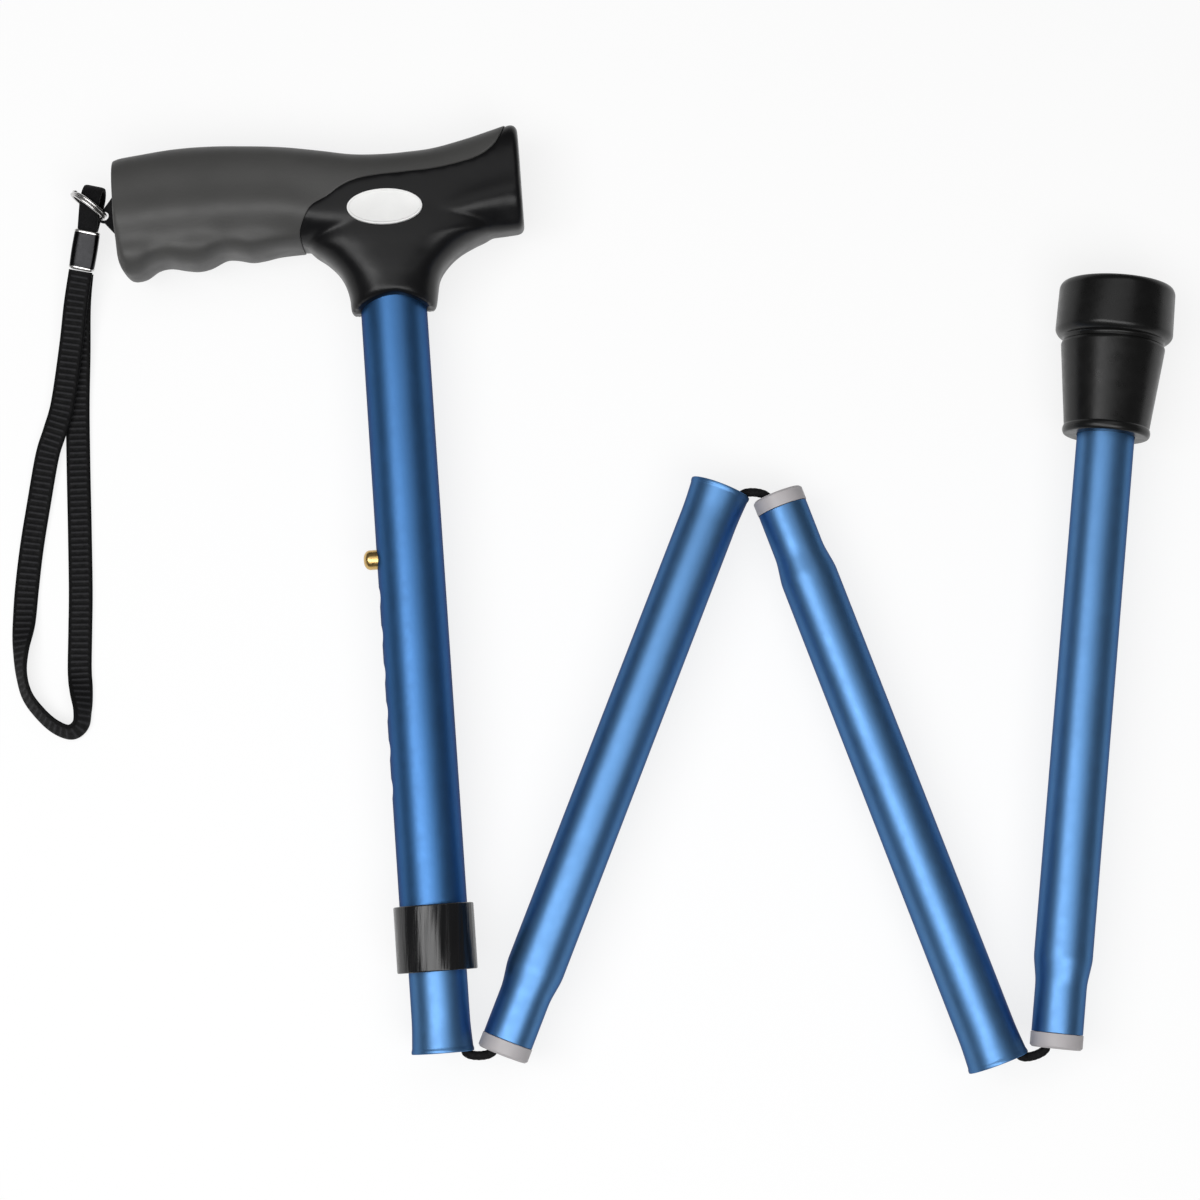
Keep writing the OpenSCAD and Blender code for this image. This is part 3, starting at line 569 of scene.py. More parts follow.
class CANE_OT_stage(bpy.types.Operator):
    """Sets the camera over the table, the pale floor and the soft studio light"""

    bl_idname = "cane.stage"
    bl_label = "Stage"

    def execute(self, context):
        context.scene.view_settings.view_transform = "Standard"
        self.camera(context.scene)
        self.floor(context.scene)
        self.light(context.scene)
        return {"FINISHED"}

    def camera(self, scene):
        """A long lens that looks down on the table."""
        view = bpy.data.cameras.new("camera")
        view.sensor_width = 36
        view.lens = CAMERA_LENS
        view.clip_start = 0.05
        view.clip_end = 50
        camera = bpy.data.objects.new("camera", view)
        camera.location = CAMERA_SPOT
        camera.rotation_euler = (CAMERA_TILT, 0, 0)
        scene.collection.objects.link(camera)
        scene.camera = camera

    def floor(self, scene):
        """One wide sheet of paper under the cane."""
        bm = bmesh.new()
        bmesh.ops.create_grid(bm, x_segments=1, y_segments=1, size=FLOOR_HALF)
        bmesh.ops.translate(bm, verts=bm.verts, vec=(0, 0, -FLOOR_DROP))
        mesh = bpy.data.meshes.new("floor")
        bm.to_mesh(mesh)
        bm.free()
        mesh.materials.append(self.floor_paper())
        floor = bpy.data.objects.new("floor", mesh)
        scene.collection.objects.link(floor)
        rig.stage(floor)

    def floor_paper(self):
        """White paper: shown white to the camera and to reflections, with the object's shadow."""
        paper = bpy.data.materials.new("floor_paper")
        paper.use_nodes = True
        nodes, links = paper.node_tree.nodes, paper.node_tree.links
        nodes.remove(nodes["Principled BSDF"])
        seen = nodes.new("ShaderNodeLightPath")
        shown = seen.outputs["Is Camera Ray"]
        for ray in ("Is Glossy Ray", "Is Transmission Ray"):
            either = nodes.new("ShaderNodeMath")
            either.operation = "MAXIMUM"
            links.new(shown, either.inputs[0])
            links.new(seen.outputs[ray], either.inputs[1])
            shown = either.outputs[0]
        plain = nodes.new("ShaderNodeBsdfDiffuse")
        plain.inputs["Color"].default_value = PAPER_GREY
        lit = nodes.new("ShaderNodeBsdfDiffuse")
        lit.inputs["Color"].default_value = PAPER_PALE
        white = nodes.new("ShaderNodeEmission")
        white.inputs["Strength"].default_value = 1
        bright = nodes.new("ShaderNodeMixShader")
        bright.inputs["Fac"].default_value = PAPER_WHITE
        links.new(lit.outputs[0], bright.inputs[1])
        links.new(white.outputs[0], bright.inputs[2])
        mixed = nodes.new("ShaderNodeMixShader")
        links.new(shown, mixed.inputs["Fac"])
        links.new(plain.outputs[0], mixed.inputs[1])
        links.new(bright.outputs[0], mixed.inputs[2])
        links.new(mixed.outputs[0], nodes["Material Output"].inputs["Surface"])
        return paper

    def light(self, scene):
        """A dim white sky and two broad lamps over the table, aimed at its middle."""
        world = bpy.data.worlds.new("studio")
        world.use_nodes = True
        sky = world.node_tree.nodes["Background"]
        sky.inputs["Color"].default_value = (1, 1, 1, 1)
        sky.inputs["Strength"].default_value = SKY
        scene.world = world
        for name, spot, power in LAMPS:
            lamp = bpy.data.lights.new(name, "AREA")
            lamp.shape = "RECTANGLE"
            lamp.size = LAMP_WIDE
            lamp.size_y = LAMP_DEEP
            lamp.energy = power
            light = bpy.data.objects.new(name, lamp)
            light.location = spot
            light.rotation_euler = (-Vector(spot)).to_track_quat("-Z", "Y").to_euler()
            scene.collection.objects.link(light)


# Route of the webbing: shares of the strap's reach, height in thicknesses, and bank in degrees
WEBBING = (
    (0, 0, 6.25, 0), (-0.012, -0.07, 4.8, 0), (-0.023, -0.16, 3.25, 0), (-0.04, -0.283, 2.25, 0),
    (-0.056, -0.344, 2, 0), (-0.072, -0.398, 1.6, 0), (-0.09, -0.506, 0.8, 0), (-0.103, -0.6, 0.63, 0),
    (-0.111, -0.688, 0.63, 0), (-0.114, -0.758, 1.15, 12), (-0.117, -0.822, 2.2, 42),
    (-0.114, -0.873, 2.57, 56), (-0.1, -0.92, 2.63, 58), (-0.07, -0.959, 2.63, 58),
    (-0.038, -0.986, 2.63, 58), (-0.006, -0.997, 2.65, 60), (0.015, -0.981, 2.65, 60),
    (0.018, -0.949, 2.57, 54), (0.013, -0.908, 1.85, 30), (0.007, -0.86, 0.82, 4),
    (0.006, -0.777, 0.63, 0), (0.005, -0.688, 0.63, 0), (0, -0.554, 0.63, 0), (-0.006, -0.414, 0.63, 0),
    (-0.01, -0.287, 0.75, 0), (-0.009, -0.172, 1.6, 0), (-0.007, -0.07, 3.5, 0), (0, 0, 5, 0),
)
WEBBING_GAP = 0.6 * MM
ROUTE_STEPS = 40
RIB_ROWS = 6
# Share across the webbing where its ribs end, the fade beyond them, and how narrow their crowns are
RIB_EDGE, RIB_FADE, RIB_CROWN = 0.66, 0.16, 1.5
# Thickness of the webbing's edges and of the valleys between its ribs, and how wide an edge is
EDGE_THIN, EDGE_WIDE, VALLEY_THIN = 0.6, 0.12, 0.7
# Places across a flat band, whose skin goes over its top and back underneath
BAND = tuple(-1 + 2 * k / 12 for k in range(13))
BAND_SIDES = 2 * len(BAND)
# How the ring, the loop and the crimp hang from the anchor's eye
RING_TURN = radians(144)
STRAP_TURN = radians(168.6)
STRAP_DIP = radians(16)
LOOP_AHEAD = 1.5 * MM
LOOP_DROP = 4.6 * MM
LOOP_R = 3.4 * MM
# Fullness of the loop's band, the share across it where it thins, and how fast
LOOP_FULL, LOOP_EDGE, LOOP_THINS = 0.96, 0.8, 1.5
CRIMP_START = 8.6 * MM
# Share along the crimp's rolled end, and its fullness there
CRIMP_END = ((0, 0.8), (0.012, 0.9), (0.03, 0.97), (0.055, 1), (0.075, 0.985), (0.09, 0.96), (0.12, 0.975))
CRIMP_BRIGHT = 0.082
CRIMP_SIDES = 48
CRIMP_ROUNDNESS = 0.72


def ring_middle():
    """Middle of the split ring, which hangs from the anchor's eye."""
    eye = Vector(JOINTS["strap_swing"]["pos_m"])
    return eye + sizes().ring_r * Vector((cos(RING_TURN), sin(RING_TURN), 0))


def strap_frame():
    """Frame of the strap's hardware: Y runs from the ring to the crimp."""
    return (
        Matrix.Translation(ring_middle())
        @ Matrix.Rotation(STRAP_TURN, 4, "Z")
        @ Matrix.Rotation(-STRAP_DIP, 4, "X")
    )


def webbing_route(step):
    """Points of the webbing's route, evenly spaced, each with its bank."""
    size = sizes()
    crimp = strap_frame() @ Vector((0, CRIMP_START + size.crimp_len, -LOOP_DROP))
    fine = []
    for k in range((len(WEBBING) - 1) * ROUTE_STEPS + 1):
        x, y, high, bank = spline(WEBBING, k / ROUTE_STEPS)
        spot = Vector((
            crimp.x + x * size.strap_reach,
            crimp.y + y * size.strap_reach - WEBBING_GAP,
            high * size.webbing_t,
        ))
        fine.append((spot, radians(bank)))
    route, due, gone = [fine[0]], step, 0.0
    for (p, bank), (q, tilt) in zip(fine, fine[1:]):
        apart = (q - p).length
        while gone + apart >= due:
            t = (due - gone) / apart
            route.append((p.lerp(q, t), bank + (tilt - bank) * t))
            due += step
        gone += apart
    return route


def band_side(j):
    """Share across a flat band, and its upper or lower face, going once round its skin."""
    if j < len(BAND):
        return BAND[j], 1
    return BAND[BAND_SIDES - 1 - j], -1


def rib_height(across, along, size):
    """How far a place of the woven face is up a cross rib; the edges are plain."""
    inner = 1 - min(max((abs(across) - RIB_EDGE) / RIB_FADE, 0), 1)
    return inner * (0.5 + 0.5 * cos(2 * pi * along / size.rib_pitch)) ** RIB_CROWN


def ribbed(across, along, size):
    """Half thickness of the webbing: cross ribs between plain edges."""
    edge = EDGE_THIN + (1 - EDGE_THIN) * min(max((1 - abs(across)) / EDGE_WIDE, 0), 1)
    rib = VALLEY_THIN + (1 - VALLEY_THIN) * rib_height(across, along, size)
    return size.webbing_t / 2 * edge * rib


class CANE_OT_strap(bpy.types.Operator):
    """Makes the wrist strap: anchor tab, split ring, loop, crimp and the band of webbing"""

    bl_idname = "cane.strap"
    bl_label = "Wrist strap"

    def execute(self, context):
        self.yarn = woven("webbing", paint("webbing"), fibres=2600, gloss=0.12, sheen=0.02)
        self.bright = metal("nickel", paint("nickel"), rough=(0.16, 0.3))
        self.anchor()
        ring, loop, crimp = self.ring(), self.loop(), self.crimp()
        self.webbing(ring, loop, crimp)
        return {"FINISHED"}

    def webbing(self, ring, loop, crimp):
        """The flat band, out of the crimp, round its loop and back."""
        size = sizes()
        step = size.rib_pitch / RIB_ROWS
        route = webbing_route(step)
        path = [spot for spot, bank in route]

        def point(i, j):
            share, face = band_side(j)
            way, bank = heading(path, i), route[i][1]
            flat = Vector((-way.y, way.x, 0)).normalized()
            rise = way.cross(flat)
            across = cos(bank) * flat + sin(bank) * rise
            through = cos(bank) * rise - sin(bank) * flat
            thick = ribbed(share, i * step, size)
            return path[i] + size.webbing_w / 2 * share * across + face * thick * through

        # Height up each rib, kept on the skin for the painted rib highlight and shade
        def mark(i, j):
            return rib_height(band_side(j)[0], i * step, size)

        bm = loft(len(path), BAND_SIDES, point, mark=mark)
        band = finish_piece(
            bm, "strap_band", Matrix.Identity(4), self.ribs(), "wrist_strap", "strap_webbing", "webbing", 80
        )
        run = sum((b - a).length for a, b in zip(path, path[1:]))
        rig.cord(
            band, path[0], run, size.webbing_w, "object", stiffness="limp", path=path,
            with_pieces=(crimp, loop, ring),
        )

    def ribs(self):
        """Yarn with a painted highlight on the ribs' crowns and painted shade in the valleys between them."""
        made = Finish("webbing_painted_rib_shading")
        rib = made.tree.nodes.new("ShaderNodeAttribute")
        rib.attribute_name = "rib"
        # Painted light: rib crowns get a painted highlight up to 4.5 times the yarn's colour, valleys painted shade
        # down to 0.4 times
        made.tint(rib.outputs["Fac"], paint("webbing"), ((0, 0.4), (0.45, 0.8), (1, 4.5)))
        made.roughness(made.noise(650), (0.55, 0.75))
        made.bump(made.noise(2600, detail=3), 0.35, 0.12 * MM)
        made.set(Specular_IOR_Level=0.12, Sheen_Weight=0.02, Sheen_Roughness=0.4)
        return made.material

    def loop(self):
        """The loop through the ring, from the crimp round the wire and back."""
        size = sizes()
        ply_gap, mouth = 0.2 * MM, 1.2 * MM
        big, small = LOOP_R + size.webbing_t / 2, size.webbing_t / 2 + ply_gap
        far = CRIMP_START - mouth
        slant = pi / 2 - asin((big - small) / (far + LOOP_AHEAD))

        def arc(middle, radius, start, stop, steps):
            turns = (start + (stop - start) * k / steps for k in range(steps + 1))
            return [Vector((0, middle + radius * cos(a), radius * sin(a) - LOOP_DROP)) for a in turns]

        def straight(start, stop, steps=10):
            return [start.lerp(stop, k / steps) for k in range(1, steps)]

        round_wire = arc(-LOOP_AHEAD, big, slant, 2 * pi - slant, 28)
        in_crimp = arc(far, small, -slant, slant, 10)
        line = round_wire + straight(round_wire[-1], in_crimp[0])
        line += in_crimp + straight(in_crimp[-1], round_wire[0])
        count = len(line)

        def point(i, j):
            share, face = band_side(j)
            way = (line[(i + 1) % count] - line[i - 1]).normalized()
            through = Vector((0, -way.z, way.y))
            full = LOOP_FULL - LOOP_THINS * max(abs(share) - LOOP_EDGE, 0)
            thick = size.webbing_t / 2 * full
            return line[i] + Vector((size.loop_w / 2 * share, 0, 0)) + face * thick * through

        bm = loft(count + 1, BAND_SIDES, point, closed=True)
        return finish_piece(
            bm, "strap_loop", strap_frame(), self.yarn, "wrist_strap", "strap_tab", "webbing", 50
        )

    def crimp(self):
        """A flat oval ferrule, rolled in at its two bright ends."""
        size = sizes()
        end, full = CRIMP_END[-1]
        shares = [k / 12 for k in range(1, 12)]
        barrel = tuple((end + (1 - 2 * end) * t, full + (1 - full) * sin(pi * t)) for t in shares)
        rows = CRIMP_END + barrel + tuple((1 - at, full) for at, full in reversed(CRIMP_END))

        def point(i, j):
            at, full = rows[i]
            angle = 2 * pi * j / CRIMP_SIDES
            return Vector((
                size.crimp_w / 2 * full * swell(cos(angle), CRIMP_ROUNDNESS),
                CRIMP_START + size.crimp_len * at,
                size.crimp_t / 2 * full * swell(sin(angle), CRIMP_ROUNDNESS) - LOOP_DROP,
            ))

        bm = loft(len(rows), CRIMP_SIDES, point)
        for face in bm.faces:
            at = (face.calc_center_median().y - CRIMP_START) / size.crimp_len
            face.material_index = 1 if min(at, 1 - at) < CRIMP_BRIGHT else 0
        dark = metal("crimp_steel", paint("crimp"), rough=(0.16, 0.28), grain=90)
        return finish_piece(
            bm, "strap_ferrule", strap_frame(), (dark, self.bright), "wrist_strap", "strap_crimp", "crimp", 50
        )

    def ring(self):
        """Two coils of flattened wire that step across to each other at the split."""
        size = sizes()
        coils, rows, sides = 2, 160, 12
        start, split, jog = radians(40), 0.46, 0.08
        apart, flat = 0.46 * size.ring_wire, 0.44 * size.ring_wire

        def point(i, j):
            share = i / rows
            angle = 2 * pi * coils * share + start
            step = min(max((share - split) / jog, 0), 1)
            shift = apart * (2 * step * step * (3 - 2 * step) - 1)
            turn = 2 * pi * j / sides
            r = size.ring_r + size.ring_wire / 2 * cos(turn)
            return Vector((r * cos(angle), r * sin(angle), shift + flat * sin(turn)))

        upright = (
            Matrix.Translation(ring_middle())
            @ Matrix.Rotation(RING_TURN, 4, "Z")
            @ Matrix.Rotation(pi / 2, 4, "X")
        )
        bm = loft(rows + 1, sides, point)
        return finish_piece(bm, "split_ring", upright, self.bright, "wrist_strap", "strap_ring", "nickel", 50)

    def anchor(self):
        """The webbing tab at the grip's end, with the eye that the ring goes through."""
        size = sizes()
        level, rim, soft = 0.662 * size.handle_h, 0.8 * MM, 0.45 * MM
        eye = Vector((-size.grip_reach - size.anchor_reach, 0, size.neck_height + level))
        hole, thick = size.anchor_hole, size.anchor_t / 2
        tip = hole + rim
        root = size.anchor_reach + size.end_round
        half = 1.7 * size.anchor_reach
        slope = (half - tip) / size.anchor_reach
        sides = 96
        # The tab's end is round about the eye from this cosine on
        behind = -0.35

        def reach(angle):
            """How far the tab's edge is from the eye, that way."""
            c, s = cos(angle), abs(sin(angle))
            if c <= behind:
                return tip
            far = root / c if c > TINY else 1
            side = tip / (s - slope * c) if s - slope * c > TINY else 1
            flank = half / s if s > TINY else 1
            return min(far, max(min(side, 1), tip), flank)

        def point(i, j):
            angle = 2 * pi * j / sides
            edge = reach(angle)
            r, y = (
                (edge - soft, -thick), (edge, soft - thick), (edge, thick - soft), (edge - soft, thick),
                (hole + soft, thick), (hole, thick - soft), (hole, soft - thick), (hole + soft, -thick),
            )[i]
            return eye + Vector((r * cos(angle), y, r * sin(angle)))

        bm = loft(9, sides, point, closed=True)
        finish_piece(
            bm, "anchor_tab", section("handle"), self.yarn, "handle_section", "strap_anchor", "webbing", 50
        )


# Room beside the elastic in a tube, its slip in a collar or at a plug, and its braid
CORD_CLEAR = 0.4 * MM
CORD_SLIP = 0.2 * MM
CORD_SIDES = 24
BRAID_STRANDS = 6
BRAID_TWIST = 2100.0
BRAID_DEPTH = 0.045
# Points along a bend: in its tube, in the open and in the next collar
TUBE_STEPS, BEND_STEPS, COLLAR_STEPS = 90, 40, 16
RUN_STEP = 2 * MM
# How far a bend keeps its way where it leaves and enters, in diameters, and where it starts to give
BEND_HOLD = 0.7
BEND_GIVE = 0.08
# Room for the disc between the fourth tube and the floor of its socket
DISC_ROOM = 1.66 * MM


class CANE_OT_elastic(bpy.types.Operator):
    """Makes the braided elastic: a bend at each fold and the runs inside the tubes"""

    bl_idname = "cane.elastic"
    bl_label = "Elastic cord"

    def execute(self, context):
        size = sizes()
        self.braid = woven("elastic_braid", paint("elastic"), fibres=3000, gloss=0.12, sheen=0.02)
        self.hole = (size.collar_bore - size.cord_d) / 2 - CORD_SLIP
        self.deep = (size.tube_od - size.cord_d) / 2 - size.tube_wall - CORD_CLEAR
        self.depth = size.spigot_len + size.plug_len
        top = size.button_height - 2 * size.spigot_len - CORD_SLIP
        enter = size.collar_len + 2 * CORD_SLIP
        stop = size.section_len - self.depth - CORD_SLIP
        last = size.foot_section_len + size.foot_seat - DISC_ROOM - 2 * size.plug_len - CORD_SLIP
        for node, where, body, start, end in (
            ("elastic_upper", "handle", "upper_shaft", (0, top), (self.deep, self.depth + CORD_SLIP)),
            ("elastic_second", "second", "second_section", (-self.hole, enter), (self.deep, stop)),
            ("elastic_third", "third", "third_section", (self.hole, enter), (-self.deep, stop)),
            ("elastic_fourth", "fourth", "fourth_section", (-self.hole, enter), (0, last)),
        ):
            self.run(node, section(where), body, start, end)
        for node, here, there, body, link, side, far in (
            ("cord_bend_upper", "handle", "second", "upper_shaft", "upper_link", 1, -1),
            ("cord_bend_middle", "second", "third", "second_section", "middle_link", 1, 1),
            ("cord_bend_lower", "third", "fourth", "third_section", "lower_link", -1, -1),
        ):
            out, mouth = (-1, 0) if here == "handle" else (1, size.section_len)
            path = self.bend(section(here), section(there), side, far, out, mouth)
            piece = self.tube(node, path, None)
            first, last = path[TUBE_STEPS], path[TUBE_STEPS + BEND_STEPS]
            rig.blend(piece, body, link, first.lerp(last, BEND_GIVE), last)
        return {"FINISHED"}

    def tube(self, node, path, body):
        """A braided tube along a path."""
        radius = sizes().cord_d / 2
        gone = [0.0]
        for a, b in zip(path, path[1:]):
            gone.append(gone[-1] + (b - a).length)

        def point(i, j):
            way = heading(path, i)
            side = Vector((-way.y, way.x, 0)).normalized()
            rise = way.cross(side)
            angle = 2 * pi * j / CORD_SIDES
            strand, twist = BRAID_STRANDS * angle, BRAID_TWIST * gone[i]
            weave = cos(strand + twist) * cos(strand - twist)
            skin = radius * (1 - BRAID_DEPTH + BRAID_DEPTH * weave)
            return path[i] + skin * (cos(angle) * side + sin(angle) * rise)

        bm = loft(len(path), CORD_SIDES, point)
        return finish_piece(bm, node + "_braid", Matrix.Identity(4), self.braid, body, node, "elastic", 60)

    def run(self, node, place, body, start, stop):
        """A straight run inside a tube; its ends are places across and along the section."""
        a, b = (place @ Vector((x, 0, z)) for x, z in (start, stop))
        steps = ceil((b - a).length / RUN_STEP)
        self.tube(node, [a.lerp(b, k / steps) for k in range(steps + 1)], body)

    def bend(self, here, there, side, far, out, mouth):
        """Path from deep in one tube, out of its mouth, round the fold and into the next collar."""
        size = sizes()
        leave = here @ Vector((side * (self.deep + size.mouth_flare), 0, mouth))
        start = here @ Vector((side * self.deep, 0, mouth - out * self.depth))
        enter = there @ Vector((far * self.hole, 0, 0))
        stop = there @ Vector((far * self.hole, 0, size.collar_len + CORD_SLIP))
        reach = BEND_HOLD * size.cord_d
        first_hold = leave + reach * out * here.col[2].xyz
        second_hold = enter - reach * there.col[2].xyz
        path = [start.lerp(leave, k / TUBE_STEPS) for k in range(TUBE_STEPS)]
        for k in range(BEND_STEPS + 1):
            t = k / BEND_STEPS
            path.append(
                leave * (1 - t) ** 3
                + first_hold * 3 * t * (1 - t) ** 2
                + second_hold * 3 * t * t * (1 - t)
                + enter * t ** 3
            )
        return path + [enter.lerp(stop, k / COLLAR_STEPS) for k in range(1, COLLAR_STEPS + 1)]


# Shares along the handle, then shares of its height or of its thickness
TOP = (
    (0, 0.945), (0.018, 0.957), (0.07, 0.969), (0.15, 0.985), (0.22, 0.987), (0.32, 0.974), (0.42, 0.951),
    (0.51, 0.916), (0.59, 0.882), (0.66, 0.872), (0.72, 0.875), (0.79, 0.888), (0.87, 0.929), (0.93, 0.967),
    (0.965, 0.99), (0.985, 1), (1, 0.995),
)
UNDER = (
    (0, 0.312), (0.025, 0.295), (0.055, 0.304), (0.085, 0.345), (0.115, 0.357), (0.155, 0.339),
    (0.185, 0.33), (0.215, 0.341), (0.255, 0.38), (0.28, 0.379), (0.32, 0.36), (0.35, 0.365),
    (0.39, 0.38), (0.45, 0.386), (0.55, 0.39), (0.82, 0.388), (0.925, 0.39), (1, 0.4),
)
WIDTH = ((0, 0.9), (0.1, 0.95), (0.3, 1), (0.6, 1), (0.75, 0.95), (0.9, 0.84), (1, 0.76))
# Share up the arm's side, then share along the handle, of the cover's edge
PARTING = (
    (0, 0.451), (0.11, 0.4525), (0.25, 0.471), (0.345, 0.489), (0.44, 0.527), (0.54, 0.556), (0.62, 0.588),
    (0.665, 0.622), (0.69, 0.67), (0.699, 0.73), (0.703, 0.79), (0.708, 0.845), (0.722, 0.888),
    (0.757, 0.919), (0.815, 0.942), (0.9, 0.957), (1, 0.969),
)
# Depth of the flute along the handle's side, and height of the ridge that runs over it
FLUTE = ((0, 0.1), (0.42, 0.1), (0.52, 0.04), (0.72, 0.05), (0.84, 0.11), (1, 0.12))
CREST = (
    (0, -0.16), (0.2, -0.16), (0.42, -0.2), (0.54, -0.45), (0.64, -0.75), (0.74, -0.72), (0.8, -0.55),
    (0.88, -0.36), (0.94, -0.28), (1, -0.25),
)
CREST_LEVEL = 0.345
RIDGE_SPAN, RIDGE_SHARE = 0.26, 0.6
GROOVE_SPAN, GROOVE_DROP = 0.2, 0.44
SIDE_FULL = 0.98
# Share up the neck, then its reach to the left, to the right and in depth
NECK = (
    (0, 0.412, 0.412, 0.412), (0.02, 0.43, 0.435, 0.43), (0.09, 0.437, 0.46, 0.437),
    (0.175, 0.478, 0.494, 0.445), (0.25, 0.554, 0.585, 0.455), (0.315, 0.67, 0.727, 0.46),
    (0.36, 0.78, 0.89, 0.464), (0.4, 0.825, 1.06, 0.466), (0.49, 0.76, 1.08, 0.466),
    (0.58, 0.56, 1, 0.455), (0.65, 0.35, 0.75, 0.4),
)
NECK_ROWS, NECK_SIDES = 81, 128
# Roundness of the neck at its rim and from its turn upwards, and the arch of its rim
NECK_RIM, NECK_UPPER, NECK_TURN = 0.95, 0.7, 0.25
ARCH_RISE, ARCH_REACH, ARCH_BOW = 4.6 * MM, 0.2, 2.5
ARM_SIDES = 128
ARM_ROUNDNESS = 0.6
EDGE_STEPS = 60
# How far the core's skin lies under the cover, and under its line beyond the cover
CORE_UNDER = 0.9 * MM
CORE_BEYOND = 0.25 * MM
CORE_VOXEL = 0.5 * MM
CORE_EASING = 22
# Lip where the cover ends, and the depth of its lining
LIP_OUT, LIP_DEEP, LINING_DEEP = 0.2 * MM, 0.4 * MM, 0.75 * MM
# Share of the toe's rounding that the grip's upper corner has
CORNER_SOFT = 0.1
# Thickness of the badge, its rim, the step inside the rim, how deep its face lies, and its softened edges
BADGE_T, BADGE_RIM, BADGE_STEP, BADGE_DEEP, BADGE_SOFT = 2.1 * MM, 0.55 * MM, 0.25 * MM, 0.3 * MM, 0.14 * MM
# Share of the handle's thickness and height where the badge sits, and its lean
BADGE_SEAT, BADGE_LEVEL, BADGE_LEAN = 0.435, 0.535, radians(2)


def arm_point(x, angle, inset):
    """Point of the handle's arm at x along it, that far round it and below the skin."""
    size = sizes()
    share = (x + size.grip_reach) / size.handle_len
    top = eased(TOP, share) * size.handle_h - inset
    under = eased(UNDER, share) * size.handle_h + inset
    half = eased(WIDTH, share) * size.handle_w / 2 - inset
    high = (top + under) / 2 + (top - under) / 2 * swell(cos(angle), ARM_ROUNDNESS)
    level = CREST_LEVEL * size.handle_h
    above = (2 * high - top - level) / (top - level) - eased(CREST, share)
    flute = eased(FLUTE, share)
    ridge = exp(-(above / RIDGE_SPAN) ** 2)
    groove = exp(-((above + GROOVE_DROP) / GROOVE_SPAN) ** 2)
    face = SIDE_FULL + RIDGE_SHARE * flute * ridge - flute * groove
    return Vector((x, -half * face * swell(sin(angle), ARM_ROUNDNESS), size.neck_height + high))


def arm_sides():
    """Angle round the arm and place of the cover's edge for each side, evenly along that edge."""
    size = sizes()
    fine, gone = [], [0.0]
    last = len(PARTING) - 1
    for k in range(last * EDGE_STEPS + 1):
        high, along = spline(PARTING, last - k / EDGE_STEPS)
        rise = swell(2 * min(max(high, 0), 1) - 1, 1 / ARM_ROUNDNESS)
        fine.append((acos(rise), along * size.handle_len - size.grip_reach))
    for (a, x), (b, y) in zip(fine, fine[1:]):
        gone.append(gone[-1] + hypot((b - a) * size.handle_w / 2, y - x))
    front = []
    half = ARM_SIDES // 2
    for k in range(half + 1):
        at = min(range(len(gone)), key=lambda i: abs(gone[i] - gone[-1] * k / half))
        front.append(fine[at])
    return front + [(2 * pi - angle, x) for angle, x in reversed(front[1:-1])]


def soft_end(angle):
    """Rounding of the grip's end: nearly sharp at its top, full at its toe."""
    low = (1 - swell(cos(angle), ARM_ROUNDNESS)) / 2
    return sizes().end_round * (CORNER_SOFT + (1 - CORNER_SOFT) * low * low)


